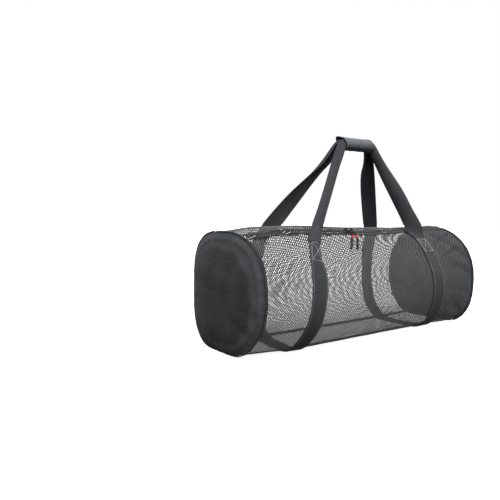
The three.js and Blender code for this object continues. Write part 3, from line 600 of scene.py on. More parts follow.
# %% The tree that lays strands on a panel
def strands_tree():
    sizes = {
        "Panel Length": ("Float", 0.8),
        "Panel Height": ("Float", 0.3),
        "Pitch": ("Float", 0.0042),
        "Step": ("Float", 0.01),
        "Width": ("Float", 0.0019),
        "Second Width": ("Float", 0.0014),
        "Thickness": ("Float", 0.0007),
        "Material": ("Material", None),
    }
    tree, given = new_tree("strands_on_a_panel", sizes)
    wide, high = given["Panel Length"], given["Panel Height"]

    def maths(kind, a, b):
        return add(tree, "ShaderNodeMath", {0: a, 1: b}, operation=kind).outputs[0]

    # One strand for every pitch along the panel's length and height together.
    shift = maths("MULTIPLY", given["Pitch"], math.sqrt(2))
    strands = maths("DIVIDE", maths("ADD", wide, high), shift)
    number = add(tree, "FunctionNodeFloatToInt", {0: strands}, rounding_mode="FLOOR")
    row = add(tree, "GeometryNodeMeshLine", {"Count": number.outputs[0]})
    line = add(tree, "GeometryNodeCurvePrimitiveLine")
    lines_on_row = {"Points": row.outputs[0], "Instance": line.outputs[0]}
    copies = add(tree, "GeometryNodeInstanceOnPoints", lines_on_row)
    numbered = add(
        tree,
        "GeometryNodeStoreNamedAttribute",
        {
            "Geometry": copies.outputs[0],
            "Name": "strand",
            "Value": add(tree, "GeometryNodeInputIndex").outputs[0],
        },
        data_type="FLOAT",
        domain="INSTANCE",
    )
    lines = add(tree, "GeometryNodeRealizeInstances", {"Geometry": numbered.outputs[0]}).outputs[0]
    strand = add(tree, "GeometryNodeInputNamedAttribute", {"Name": "strand"}, data_type="FLOAT").outputs[0]
    # A strand starts on the panel's lower or left side and ends on its upper or right side.
    offset = maths("SUBTRACT", maths("MULTIPLY", maths("ADD", strand, 0.5), shift), high)
    start = maths("MAXIMUM", offset, 0.0)
    end = maths("MINIMUM", maths("ADD", offset, high), wide)
    part = add(tree, "GeometryNodeSplineParameter").outputs["Factor"]
    u = add(tree, "ShaderNodeMix", {0: part, 2: start, 3: end}, data_type="FLOAT").outputs[0]
    rising = maths("SUBTRACT", u, offset)
    falling = maths("SUBTRACT", high, rising)
    cut = add(tree, "GeometryNodeInputNamedAttribute", {"Name": "cloth"}, data_type="FLOAT_VECTOR").outputs[0]
    here = add(tree, "GeometryNodeInputPosition").outputs[0]
    normal = add(tree, "GeometryNodeInputNormal").outputs[0]
    facing = add(tree, "GeometryNodeInputNamedAttribute", {"Name": "facing"}, data_type="FLOAT_VECTOR")
    facing = facing.outputs[0]
    ring = add(tree, "GeometryNodeCurvePrimitiveCircle", {"Resolution": 4, "Radius": 0.5})

    def on_cloth(value):
        inputs = {"Mesh": given["Geometry"], "Value": value, "UV Map": cut, "Sample UV": here}
        return add(tree, "GeometryNodeSampleUVSurface", inputs, data_type="FLOAT_VECTOR").outputs["Value"]

    families = []
    for v, width in ((rising, given["Width"]), (falling, given["Second Width"])):
        size = add(tree, "ShaderNodeCombineXYZ", {"X": given["Thickness"], "Y": width, "Z": 1.0}).outputs[0]
        profile = add(tree, "GeometryNodeTransform", {"Geometry": ring.outputs[0], "Scale": size}).outputs[0]
        flat = add(tree, "ShaderNodeCombineXYZ", {"X": u, "Y": v}).outputs[0]
        drawn = add(tree, "GeometryNodeSetPosition", {"Geometry": lines, "Position": flat}).outputs[0]
        stepped = add(
            tree, "GeometryNodeResampleCurve", {"Curve": drawn, "Length": given["Step"]}, mode="LENGTH"
        ).outputs[0]
        # Each point is laid on the cloth, and the cloth's normal turns the strand flat.
        faced = add(
            tree,
            "GeometryNodeStoreNamedAttribute",
            {"Geometry": stepped, "Name": "facing", "Value": on_cloth(normal)},
            data_type="FLOAT_VECTOR",
            domain="POINT",
        ).outputs[0]
        moved = {"Geometry": faced, "Position": on_cloth(here)}
        laid = add(tree, "GeometryNodeSetPosition", moved).outputs[0]
        turned = add(tree, "GeometryNodeSetCurveNormal", mode="FREE")
        tree.links.new(laid, turned.inputs["Curve"])
        tree.links.new(facing, turned.inputs["Normal"])
        families.append(
            add(
                tree,
                "GeometryNodeCurveToMesh",
                {"Curve": turned.outputs[0], "Profile Curve": profile, "Fill Caps": True},
            ).outputs[0]
        )
    both = tree.nodes.new("GeometryNodeJoinGeometry")
    for family in families:
        tree.links.new(family, both.inputs[0])
    return close_tree(tree, both.outputs[0], given)


def close_tree(tree, geometry, given):
    """Ends a tree: smooth shading, real geometry and the material."""
    soft = add(tree, "GeometryNodeSetShadeSmooth", {"Geometry": geometry}).outputs[0]
    real = add(tree, "GeometryNodeRealizeInstances", {"Geometry": soft}).outputs[0]
    painted = add(tree, "GeometryNodeSetMaterial", {"Geometry": real, "Material": given["Material"]})
    tree.links.new(painted.outputs[0], tree.nodes.new("NodeGroupOutput").inputs[0])
    return tree


STRANDS = strands_tree()
print("strand tree nodes", len(STRANDS.nodes))

# %% [markdown]
# The three panels are cut as rectangles. Their lower and upper edges on the bag are the
# floor seams and the zip, so the tree can draw on a rectangle while the cloth that it
# lays the strands on swells, sags and creases.

# %% Lay the three panels of net
HALF_GAP = 0.15 / MM_PER_DEGREE
ZIP_TAPE, ZIP_COIL, NET_UNDER_TAPE = 12.5, 5.4, 7
NET_EDGE = (ZIP_COIL / 2 + ZIP_TAPE - NET_UNDER_TAPE) / MM_PER_DEGREE
PITCH, STRAND, THIN_STRAND = 5.2, 2.65, 1.6


def net_panel(name, low, high, thick=0.7):
    """A panel between two angles at each x: a helper surface, and the strands on it."""
    x = np.linspace(-NET_END, NET_END, 160)
    bottom, top = low(x), high(x)
    height = (top - bottom).mean() * MM_PER_DEGREE
    rows = int(height / 5)
    share = np.linspace(0, 1, rows + 1)
    angles = bottom[:, None] + (top - bottom)[:, None] * share
    points = on_skin(x[:, None] + 0 * angles, angles, -0.8, True)
    faces, corners = grid_faces(len(x), rows + 1)
    uvs = [((x[i] + NET_END) * MM, share[j] * height * MM) for i, j in corners]
    cloth = make_piece(name + "_cut", points.reshape(-1, 3), faces, None, uvs)
    settings = {
        "Panel Length": 2 * NET_END * MM,
        "Panel Height": height * MM,
        "Pitch": PITCH * MM,
        "Step": 0.0085,
        "Width": STRAND * MM,
        "Second Width": THIN_STRAND * MM,
        "Thickness": thick * MM,
    }
    made = grow(name, cloth, STRANDS, settings, net_yarn)
    settle(made, "mesh", name.replace("net", "mesh"))


def zip_angle(x):
    return section("zip", x)


def along_seam(angle):
    """A panel's edge that keeps one angle round the bag, all along a floor seam."""
    return lambda x: angle + 0 * x


FLOOR_THICK = 0.4
net_panel("net_front", along_seam(FRONT_SEAM + HALF_GAP), lambda x: zip_angle(x) - NET_EDGE)
net_panel("net_back", lambda x: zip_angle(x) + NET_EDGE, along_seam(BACK_SEAM + 360 - HALF_GAP))
net_panel("net_floor", along_seam(BACK_SEAM + HALF_GAP), along_seam(FRONT_SEAM - HALF_GAP), FLOOR_THICK)

# %% [markdown]
# ## Stitches, teeth and ribs
# A stitch, a zip tooth and a rib on a rubber pull are the same thing to a modeller: one
# small rounded grain, repeated along a line and turned to face out of the surface. One
# tree makes them all. Its inputs are the pitch, the grain's three sizes, a turn about the
# outward direction, and a swing that sets every second grain to the other side.

# %% The tree that sets grains along a line
def grains_tree():
    sizes = {
        "Pitch": ("Float", 0.003),
        "Length": ("Float", 0.002),
        "Width": ("Float", 0.0006),
        "Height": ("Float", 0.0006),
        "Turn": ("Float", 0.0),
        "Swing": ("Float", 0.0),
        "Segments": ("Int", 6),
        "Rings": ("Int", 4),
        "Material": ("Material", None),
    }
    tree, given = new_tree("grains_along_a_line", sizes)

    def maths(kind, a, b):
        return add(tree, "ShaderNodeMath", {0: a, 1: b}, operation=kind).outputs[0]

    def vectors(kind, inputs):
        return add(tree, "ShaderNodeVectorMath", inputs, operation=kind).outputs[0]

    line = add(tree, "GeometryNodeMeshToCurve", {"Mesh": given["Geometry"]}).outputs[0]
    spots = add(
        tree, "GeometryNodeResampleCurve", {"Curve": line, "Length": given["Pitch"]}, mode="LENGTH"
    ).outputs[0]
    run = add(tree, "GeometryNodeInputTangent").outputs[0]
    up = add(tree, "GeometryNodeInputNamedAttribute", {"Name": "up"}, data_type="FLOAT_VECTOR").outputs[0]
    index = add(tree, "GeometryNodeInputIndex").outputs[0]
    parity = maths("SUBTRACT", maths("MULTIPLY", maths("MODULO", index, 2.0), 2.0), 1.0)
    aside = vectors("CROSS_PRODUCT", {0: up, 1: run})
    inputs = {0: vectors("NORMALIZE", {0: aside}), "Scale": maths("MULTIPLY", parity, given["Swing"])}
    offset = vectors("SCALE", inputs)
    moved = add(tree, "GeometryNodeSetPosition", {"Geometry": spots, "Offset": offset}).outputs[0]
    axes = add(
        tree, "FunctionNodeAxesToRotation", {0: run, 1: up}, primary_axis="X", secondary_axis="Z"
    ).outputs[0]
    about = add(tree, "ShaderNodeCombineXYZ", {"Z": given["Turn"]}).outputs[0]
    about = add(tree, "FunctionNodeEulerToRotation", {0: about}).outputs[0]
    turned = add(tree, "FunctionNodeRotateRotation", {0: axes, 1: about}, rotation_space="LOCAL").outputs[0]
    ball = {"Segments": given["Segments"], "Rings": given["Rings"], "Radius": 0.5}
    grain = add(tree, "GeometryNodeMeshUVSphere", ball).outputs[0]
    size = add(
        tree, "ShaderNodeCombineXYZ", {"X": given["Length"], "Y": given["Width"], "Z": given["Height"]}
    ).outputs[0]
    grains = add(
        tree,
        "GeometryNodeInstanceOnPoints",
        {"Points": moved, "Instance": grain, "Rotation": turned, "Scale": size},
    ).outputs[0]
    return close_tree(tree, grains, given)


GRAINS = grains_tree()


def grains(name, lines, material, pitch, length, width, height, turn=0.0, swing=0.0, segments=6, rings=4):
    """Grains along several lines, each given as its points and its outward directions."""
    mesh = bpy.data.meshes.new(name + "_lines")
    points, ups, edges = [], [], []
    for line, out in lines:
        edges += [(len(points) + k, len(points) + k + 1) for k in range(len(line) - 1)]
        points += (np.asarray(line) * MM).tolist()
        ups += np.asarray(out).tolist()
    mesh.from_pydata(points, edges, [])
    attribute = mesh.attributes.new("up", "FLOAT_VECTOR", "POINT")
    attribute.data.foreach_set("vector", np.asarray(ups, np.float32).ravel())
    source = bpy.data.objects.new(name + "_lines", mesh)
    bpy.context.collection.objects.link(source)
    settings = {
        "Pitch": pitch * MM,
        "Length": length * MM,
        "Width": width * MM,
        "Height": height * MM,
        "Turn": turn,
        "Swing": swing * MM,
        "Segments": segments,
        "Rings": rings,
    }
    return grow(name, source, GRAINS, settings, material)


def line_on_skin(x, angle, height, fine=False):
    """A line for the grains tree, on the skin, with the skin's outward directions."""
    x, angle = np.broadcast_arrays(np.asarray(x, float), np.asarray(angle, float))
    return on_skin(x, angle, height, fine), outward(x, angle, fine)

# %% [markdown]
# ## The end panels
# Each end is a disc of coated nylon with a rolled rim: an inner disc is seamed to a band,
# and the band curves over to meet the net. Nothing stretches it, so it is slack: it bulges
# a little, dents broadly, and puckers where the binding gathers it. A disc of rings and
# spokes follows that best. Its outward shape is a sum of those four things, and Solidify
# gives the cloth its thickness.

# %% Noise that repeats round a circle
noise_seed = np.random.default_rng(7)
PHASES = noise_seed.uniform(0, math.tau, 60)
WEIGHTS = noise_seed.uniform(0.5, 1.0, 60)


def gathers(angle, first, last):
    """Irregular waves round a circle, made of whole numbers of waves from first to last."""
    waves = range(first, last + 1)
    total = sum(WEIGHTS[n % 60] * np.sin(n * np.radians(angle) + PHASES[n % 60]) for n in waves)
    return total / math.sqrt(len(waves))


def dunes(y, z, scale, seed):
    """Slow smooth noise over a plane, about -1 to 1."""
    total = 0
    for k in range(7):
        turn = PHASES[(seed + k) % 60]
        reach = scale * (0.7 + 0.6 * WEIGHTS[(seed + k) % 60])
        across = (y * math.cos(turn) + z * math.sin(turn)) / reach
        total = total + np.sin(across * math.tau + PHASES[(seed + 3 * k) % 60])
    return total / 3.2

# %% Make the end panels and their bindings
def end_panel(name, side, folds, fold_highlight):
    """One slack disc. The third argument is how deeply the rim's folds run in, the fourth how much of its
    painted highlight lies along the folds instead of round the rim.
    """
    x = side * NET_END
    shares = np.concatenate([[0.02], np.linspace(0.06, 0.78, 22), np.linspace(0.8, 1.0, 22)])
    angles = np.linspace(0, 360, 241)[:-1] + BACK_SEAM
    share, angle = np.meshgrid(shares, angles, indexing="ij")
    rim = on_skin(x + 0 * angle, angle, -0.9)
    centre = np.array([x, 0, BODY_HEIGHT / 2])
    points = centre + (rim - centre) * share[..., None]
    y, z = points[..., 1], points[..., 2]
    mm_in = (1 - share) * BODY_WIDTH / 2
    droop = 1 - END_DROOP * share * np.sin(np.radians(angle))
    bulge = (END_BULGE - 1.5) * (1 - share**END_ROUNDNESS) * droop
    slack = 2.6 * dunes(y, z, 150, 5) * (1 - share**5) + 1.0 * dunes(y, z, 60, 11) * (1 - share**4)
    pucker = 1.5 * gathers(angle, 26, 44) * np.exp(-mm_in / 9) * smooth(mm_in, 0, 3)
    radial = folds * gathers(angle, 7, 15) * np.exp(-mm_in / 45) * smooth(mm_in, 0, 25)
    puff = 2.2 * np.exp(-(((share - 0.9) * BODY_WIDTH / 2 / 9) ** 2))
    points[..., 0] = x + side * (bulge + slack + pucker + radial + puff)
    flat = points.reshape(-1, 3)
    faces, _ = grid_faces(len(shares), len(angles), False, True)
    middle = len(flat)
    flat = np.vstack([flat, [points[0, :, 0].mean(), 0, BODY_HEIGHT / 2]])
    faces += [[middle, j, (j + 1) % 240] for j in range(240)]
    if side > 0:
        faces = [face[::-1] for face in faces]
    uvs = [flat[k][1:] * MM for face in faces for k in face]
    made = make_piece(name.replace("panel", "disc"), flat, faces, end_nylon, uvs)
    # Painted highlight: a paler band round the rim, wider towards the top and the front where the light
    # falls, and on the far disc pale painted lines along the folds.
    edge = 0.76 - 0.07 * np.sin(np.radians(angle)) - 0.06 * np.cos(np.radians(angle))
    edge = edge + 0.035 * gathers(angle, 3, 14)
    painted_highlight = made.data.attributes.new("painted_highlight", "FLOAT", "POINT")
    painted_fold_streaks = fold_highlight * smooth(gathers(angle + 25 * share, 5, 17), -0.2, 1.1) * smooth(share, 0.15, 0.5)
    painted_light_amount = np.maximum(painted_fold_streaks, (1 - fold_highlight) * smooth(share - edge, -0.02, 0.1))
    painted_highlight.data.foreach_set("value", np.append(painted_light_amount.ravel(), 0).astype(np.float32))
    shell = made.modifiers.new("cloth", "SOLIDIFY")
    shell.thickness, shell.offset = 1.2 * MM, -1
    settle(made, "nylon", name)


end_panel("end_panel_near", -1, 1.6, 0.0)
end_panel("end_panel_far", 1, 9.0, 0.9)


def end_binding(name, side):
    """Grosgrain folded over the rim of a disc and the edge of the net."""
    angles = np.linspace(0, 360, 361)[:-1] + BACK_SEAM
    # mm in from the rim, height over the net
    profile = [(-1.4, 0.4), (-1.5, 1.5), (-0.9, 2.4), (0.6, 2.9), (2.0, 2.7), (3.2, 2.1), (4.4, 1.8),
               (5.6, 2.1), (6.8, 1.9), (7.8, 1.1), (8, 0.35), (5, 0.3), (2, 0.3)]
    ease, scallop = 0.45 * gathers(angles, 24, 40), 1.2 * gathers(angles, 12, 26)
    loops = []
    for k, angle in enumerate(angles):
        inwards = np.array([p[0] for p in profile])
        high = np.array([p[1] for p in profile])
        high = np.where(high > 1, high + max(-0.8, ease[k]), high)
        inwards = np.where(inwards > 5, inwards + scallop[k], inwards)
        x = side * (NET_END - np.maximum(inwards, 0))
        loop = on_skin(x, angle, high)
        loop[:, 0] = side * (NET_END - inwards)
        loops.append(loop)
    made = loft(name.replace("binding", "tape"), loops, binding_tape, joined=True)
    return settle(made, "binding_tape", name)


def end_hem(name, side):
    """The half of the same tape that lies inside the net."""
    angles = np.linspace(0, 360, 241)[:-1] + BACK_SEAM
    profile = np.array([(2.0, -1.9), (8.5, -1.9), (8.5, -2.7), (2.0, -2.7)])
    loops = [on_skin(side * (NET_END - profile[:, 0]), angle, profile[:, 1]) for angle in angles]
    settle(loft(name, loops, binding_tape, joined=True), "binding_tape")


end_binding("end_binding_near", -1)
end_binding("end_binding_far", 1)
end_hem("end_hem_near", -1)
end_hem("end_hem_far", 1)
rims = []
for side in (-1, 1):
    turn = np.linspace(0, 360, 400) + BACK_SEAM
    rims.append(line_on_skin(side * (NET_END - 4.4) + 0 * turn, turn, 1.9))
rim_stitches = grains("rim_stitches", rims, black_thread, 3.4, 2.8, 0.7, 0.5)
settle(rim_stitches, "binding_tape")

# %% [markdown]
# ## The webbing
# One width of webbing makes the rings and the handles. On the net it lies flat; at the
# sides it slants in towards the handles. A strap is a loft: at each place along it, a
# loop of points goes out along the face and back along the other side, with its two
# selvages rounded. Solidify could thicken a ribbon, but it can't round an edge.

# %% The rings of webbing under the bag
PINCH_FROM, PINCH_RISE = 18.0, 40.0
# from the back handle under the floor at -90 to the front handle: angle, place along the bag
ROUTES = {
    "near": {
        "angle": [-227, -204, -180, -150, -110, -80, -50, -22, 10, 32, 47],
        "x": [-224, -212, -214, -223, -238, -250, -256, -248, -242, -234, -216],
    },
    "far": {
        "angle": [-233, -204, -185, -164, -138, -110, -80, -50, -15, 10, 36, 53],
        "x": [228, 270, 284, 280, 268, 268, 268, 264, 244, 232, 226, 228],
    },
}
RINGS = {
    "near": {"side": -1, "route": ROUTES["near"], "top": 47.0, "pinch": 0.34},
    "far": {"side": 1, "route": ROUTES["far"], "top": 53.0, "pinch": 0.0},
}


def ring_place(ring, angle):
    """Where the middle of a ring is along the bag, at an angle round it."""
    angle = round_body(angle)
    return follow(ring["route"], "angle", "x", np.where(angle > 90, angle - 360, angle))


def on_web(ring, angle, across, height):
    """A point on a ring: across is in mm from its middle, towards +X, on the flat web."""
    angle, across = np.broadcast_arrays(np.asarray(angle, float), np.asarray(across, float))
    turned = round_body(angle)
    pinch = np.where(abs(turned) < 90, ring["pinch"] * smooth(turned, PINCH_FROM, ring["top"]), 0)
    height = height + PINCH_RISE * pinch * (1 - (across / WEB_WIDTH * 2) ** 2)
    across = across * (1 - pinch)
    slope = ring_place(ring, angle + 0.5) - ring_place(ring, angle - 0.5)
    slant = np.arctan2(slope, MM_PER_DEGREE)
    x = ring_place(ring, angle) + across * np.cos(slant)
    around = angle - across * np.sin(slant) / MM_PER_DEGREE
    return on_skin(x, around, height), outward(x, around, False)


# across in half widths, height in thicknesses, once round the strap's section
SELVAGE = [(-1, 0.5), (-0.985, 0.8), (-0.96, 0.96)]
FLATS = np.linspace(-0.9, 0.9, 9)
SECTION = SELVAGE + [(f, 1.0) for f in FLATS] + [(-a, h) for a, h in reversed(SELVAGE)]
SECTION += [(0.96, 0.04)] + [(-f, 0.0) for f in FLATS] + [(-0.96, 0.04)]
SECTION = np.array(SECTION)

for name, ring in RINGS.items():
    angles = np.linspace(ring["top"] + 0.6, -180 - ring["top"] - 0.6, 280)
    loops = []
    for angle in angles:
        wave = 0.35 + 0.35 * math.sin(angle / 7.3 + ring["side"])
        high = WEB_GAP + SECTION[:, 1] * WEB_THICKNESS + wave * math.cos(math.radians(angle)) ** 2
        point, _ = on_web(ring, angle, SECTION[:, 0] * WEB_WIDTH / 2, high)
        loops.append(point)
    made = loft(f"web_{name}", loops, webbing)
    settle(made, "webbing", f"web_ring_{name}")

# %% [markdown]
# ## The handles
# Each handle leaves its ring, turns about itself on the way up, and curls into the grip.
# The CAD frame holds that route as a rule, and the same rule gives the fine straps here:
# a path of straight runs and bends, a turn about the path, and the angle the web is
# rolled through. The two webs face each other inside the grip, like two hands cupped.

# %% The handles' route
GRIP_X, GRIP_Y, GRIP_HEIGHT, GRIP_LENGTH, GRIP_CURL = 22.0, -20.0, 556.0, 102.0, 235.0
GRIP_RADIUS = WEB_WIDTH / math.radians(GRIP_CURL)
GRIP_DEPTH = GRIP_RADIUS * (1 - math.cos(math.radians(GRIP_CURL / 2))) + WEB_THICKNESS / 2
KNEE, KNEE_BEND, SEAT, STANDOFF, BEND_IN, BEND_OUT = 3.0, 12.0, 40.0, 8.0, 8.0, 26.0
RING_TO_HANDLE = 1.05
# rise from ring to grip, turn about the leg, curl of the web
LEGS = {
    "front_near": [
        (0, -10, 130),
        (0.1, 6, 140),
        (0.22, 20, 130),
        (0.4, 24, 120),
        (0.75, 22, 165),
        (0.9, 6, 220),
        (1, 0, GRIP_CURL),
    ],
    "front_far": [
        (0, 12, 0),
        (0.1, 28, 15),
        (0.25, 38, 90),
        (0.45, 36, 105),
        (0.65, 22, 135),
        (0.9, 4, 215),
        (1, 0, GRIP_CURL),
    ],
    "back_near": [
        (0, 0, 0),
        (0.15, -17, 10),
        (0.38, -6, 25),
        (0.6, 14, 70),
        (0.75, 24, 130),
        (0.9, 6, 215),
        (1, 0, GRIP_CURL),
    ],
    "back_far": [(0, 12, 0), (0.5, 20, 25), (0.75, 14, 90), (0.9, -4, 205), (1, 0, GRIP_CURL)],
}


def leg_column(leg, column, rise):
    rows = np.array(LEGS[leg], float)
    return follow({"rise": rows[:, 0], "value": rows[:, column]}, "rise", "value", rise)


def bezier(a, b, c):
    t = np.linspace(0, 1, 60)[:, None]
    return (1 - t) ** 2 * a + 2 * t * (1 - t) * b + t**2 * c


def handle(name, way):
    """The strap's loops, its middle line and the outward directions along it."""
    grip_y = GRIP_Y + way * (GRIP_DEPTH + 0.5 - WEB_THICKNESS / 2)
    middle = WEB_GAP + WEB_THICKNESS / 2
    legs = {}
    for side, ring in RINGS.items():
        angle = ring["top"] if way < 0 else 180 - ring["top"]
        top = on_web(ring, angle, 0, middle)[0]
        run = unit(top - on_web(ring, angle + way * 0.2, 0, middle)[0])
        across = unit(on_web(ring, angle, 5, middle)[0] - on_web(ring, angle, -5, middle)[0])
        knee = top + run * (1.05 + KNEE)
        corner = np.array([GRIP_X + ring["side"] * (GRIP_LENGTH / 2 + STANDOFF), grip_y, GRIP_HEIGHT])
        up = unit(corner - knee)
        tilt = unit(np.cross(up, [1, 0, 0]))
        start = top + run * RING_TO_HANDLE
        legs[side] = {"start": start, "knee": knee, "corner": corner, "up": up}
        legs[side].update({"across": across, "tilt": tilt})
    near, far = legs["near"], legs["far"]
    ahead = np.array([BEND_IN, 0, 0])
    parts = [
        bezier(near["start"], near["knee"], near["knee"] + near["up"] * KNEE_BEND),
        np.array([near["knee"] + near["up"] * KNEE_BEND, near["corner"] - near["up"] * BEND_OUT]),
        bezier(near["corner"] - near["up"] * BEND_OUT, near["corner"], near["corner"] + ahead),
        np.array([near["corner"] + ahead, far["corner"] - ahead]),
        bezier(far["corner"] - ahead, far["corner"], far["corner"] - far["up"] * BEND_OUT),
        np.array([far["corner"] - far["up"] * BEND_OUT, far["knee"] + far["up"] * KNEE_BEND]),
        bezier(far["knee"] + far["up"] * KNEE_BEND, far["knee"], far["start"]),
    ]
    lengths = np.cumsum([travelled(part)[-1] for part in parts])
    route = np.vstack([parts[0]] + [part[1:] for part in parts[1:]])
    gone_by = travelled(route)
    total = gone_by[-1]
    stations = np.linspace(0, total, 230)

    def on_route(gone):
        return np.stack([np.interp(gone, gone_by, route[:, k]) for k in range(3)], -1)

    centre = on_route(stations)
    runs = unit(on_route(np.minimum(stations + 1, total)) - on_route(np.maximum(stations - 1, 0)))
    loops = []
    for s, point, run in zip(stations, centre, runs):
        at_near = s < total / 2
        leg = near if at_near else far
        gone = s if at_near else total - s
        rise = min(1, gone / (lengths[2] if at_near else total - lengths[3]))
        key = f"{name}_{'near' if at_near else 'far'}"
        turn = math.radians(leg_column(key, 1, rise))
        curl = max(1.0, float(leg_column(key, 2, rise)))
        tilt = leg["tilt"] + (np.array([0, 1, 0]) - leg["tilt"]) * smooth(rise, 0.85, 1)
        flat = unit(np.cross(tilt, run))
        wide = flat * math.cos(turn) + np.cross(run, flat) * math.sin(turn)
        seated = leg["across"] * (1 if at_near else -1)
        wide = unit(wide + (seated - wide) * (1 - smooth(gone, 0, SEAT)))
        inside = unit(np.cross(run, wide)) * -way
        radius = WEB_WIDTH / math.radians(curl)
        turned = np.radians(SECTION[:, 0] * curl / 2)
        r = radius + (SECTION[:, 1] - 0.5) * WEB_THICKNESS
        loop = point + np.outer(r * np.sin(turned), wide) + np.outer(radius - r * np.cos(turned), inside)
        loops.append(loop)
    return np.array(loops)


for name, way in (("front", -1), ("back", 1)):
    made = loft(f"strap_{name}", handle(name, way), webbing)
    settle(made, "webbing", f"handle_{name}")

# %% [markdown]
# ## The stitching on the webs
# The handles are sewn down with a box and a cross in pale thread, which is the strongest
# joint for a web, and a line of the same thread runs on down the web near its edge. The
# stitches are grains on lines drawn over the web.

# %% Boxes, crosses and edge lines
def web_line(ring, stops, height=WEB_GAP + WEB_THICKNESS + 0.25):
    """A line over a ring through stops of angle and mm across."""
    stops = np.array(stops, float)
    share = np.linspace(0, len(stops) - 1, 40 * (len(stops) - 1) + 1)
    angle = np.interp(share, range(len(stops)), stops[:, 0])
    across = np.interp(share, range(len(stops)), stops[:, 1])
    lift = (0.35 + 0.35 * np.sin(angle / 7.3 + ring["side"])) * np.cos(np.radians(angle)) ** 2
    return on_web(ring, angle, across, height + lift)


BOX_HALF, BOX_DOWN, BOX_LONG = 19.0, 1.5, 16.0
boxes, edges = [], []
for ring in RINGS.values():
    for front in (True, False):
        def at(angle):
            return angle if front else 180 - angle
        top, low = at(ring["top"] - BOX_DOWN), at(ring["top"] - BOX_DOWN - BOX_LONG)
        left, right = -BOX_HALF, BOX_HALF
        boxes.append(web_line(ring, [(top, left), (top, right)]))
        boxes.append(web_line(ring, [(low, left), (low, right)]))
        boxes.append(web_line(ring, [(top, left), (low, left)]))
        boxes.append(web_line(ring, [(top, right), (low, right)]))
        boxes.append(web_line(ring, [(top, left), (low, right)]))
        boxes.append(web_line(ring, [(top, right), (low, left)]))
    for across in (-BOX_HALF - 2, BOX_HALF + 2):
        stops = [(angle, across) for angle in np.linspace(ring["top"] - 1, -179 - ring["top"], 12)]
        edges.append(web_line(ring, stops))
settle(grains("box_stitches", boxes, grey_thread, 3.1, 3.1, 1.7, 0.8), "webbing")
settle(grains("edge_stitches", edges, grey_thread, 3.6, 3.0, 1.1, 0.6), "webbing")

# %% [markdown]
# ## The zip
# Two woven tapes lie over the net's edges, and two rows of coil teeth interlock between
# them. The teeth are grains set across the zip, each second one swung to the other side,
# over a cord that keeps them together.

# %% Tapes, teeth and the tape stitches
ZIP_END = NET_END - 8 - 4
zip_x = np.linspace(-ZIP_END, ZIP_END, 320)
for name, way in (("front", -1), ("back", 1)):
    inner, outer = (ZIP_COIL / 2 + 0.3) / MM_PER_DEGREE, (ZIP_COIL / 2 + ZIP_TAPE) / MM_PER_DEGREE
    spread = np.linspace(inner, outer, 7)
    loops = []
    for x in zip_x:
        angle = zip_angle(x) + way * spread
        ruffle = 0.3 + 0.3 * math.sin(x / 9.7) * math.sin(x / 23 + way)
        high = 1.2 + ruffle * np.linspace(0, 1, 7)
        under = on_skin(x, angle[::-1], high[::-1] - 0.85, True)
        loops.append(np.vstack([on_skin(x, angle, high, True), under]))
    made = loft(f"zip_tape_cloth_{name}", loops, zip_cloth, ladder=True)
    settle(made, "zip_tape", f"zip_tape_{name}")

core = []
for x in zip_x:
    turn = np.radians(np.arange(0, 360, 45))
    angle = zip_angle(x) + 1.9 * np.cos(turn) / MM_PER_DEGREE
    core.append(on_skin(x, angle, 1.3 + 0.8 * np.sin(turn), True))
core = loft("zip_core", core, coil_nylon)
settle(core, "zip_coil", "zip_coil")
line = line_on_skin(zip_x, zip_angle(zip_x), 1.5, True)
teeth = grains("zip_teeth", [line], coil_nylon, 1.7, 3.7, 1.15, 2.3, math.pi / 2, 0.85)
settle(teeth, "zip_coil")
tape_lines = []
for way in (-1, 1):
    for inset in (ZIP_COIL / 2 + 6.5, ZIP_COIL / 2 + ZIP_TAPE - 2.2):
        angle = zip_angle(zip_x) + way * inset / MM_PER_DEGREE
        tape_lines.append(line_on_skin(zip_x, angle, 1.75, True))
settle(grains("tape_stitches", tape_lines, black_thread, 3.2, 2.7, 0.6, 0.45), "zip_tape")

# %% [markdown]
# ## The sliders and their pulls
# Two die-cast sliders meet head to head. Each carries a loop of cord, a red moulded
# collar, and a ribbed rubber sleeve long enough to hold with gloves on. The sliders keep
# the CAD solids' places; a rounded body replaces the faceted one.

# %% Frames and routes of the two pulls
SLIDER_AT, SLIDER_SPACING, LOOP_LENGTH = -54.0, 21.0, 24.0
COLLAR_LONG, SLEEVE_FROM, PULL_END, ROUNDED_FROM = 15, 15.2, 64.3, 46.5
# outlines of the slider's body, seen along the zip, and of its bridge, seen from the side
CHEEKS = [(-5.2, 1.2), (-3.0, 1.2), (-3.0, 2.7), (3.0, 2.7), (3.0, 1.2)]
CHEEKS += [(5.2, 1.2), (5.2, 3.6), (4.0, 4.3), (-4.0, 4.3), (-5.2, 3.6)]
ARCH = [(-4.4, 4.1), (-3.1, 4.1), (-3.1, 8.6), (3.1, 8.6), (3.1, 4.1), (4.4, 4.1)]
ARCH += [(3.5, 10.3), (-3.5, 10.3)]
PULLS = {"near": (-0.5, 9, 42), "far": (0.5, 4, 36)}


def catmull(points, count=80):
    """A smooth line through points, evenly spaced."""
    points = np.asarray(points, float)
    ends = np.vstack([2 * points[0] - points[1], points, 2 * points[-1] - points[-2]])
    line = []
    for k in range(1, len(ends) - 2):
        a, b, c, d = ends[k - 1 : k + 3]
        t = np.linspace(0, 1, 40)[:, None]
        curve = 2 * b + (c - a) * t + (2 * a - 5 * b + 4 * c - d) * t**2 + (3 * b - a - 3 * c + d) * t**3
        line.append(0.5 * curve)
    line = np.vstack([line[0]] + [part[1:] for part in line[1:]])
    gone = travelled(line)
    even = np.linspace(0, gone[-1], count)
    return np.stack([np.interp(even, gone, line[:, k]) for k in range(3)], -1)


def part_of(line, start, end, count):
    """The stretch of a line between two distances along it."""
    gone = travelled(line)
    even = np.linspace(start, end, count)
    return np.stack([np.interp(even, gone, line[:, k]) for k in range(3)], -1)


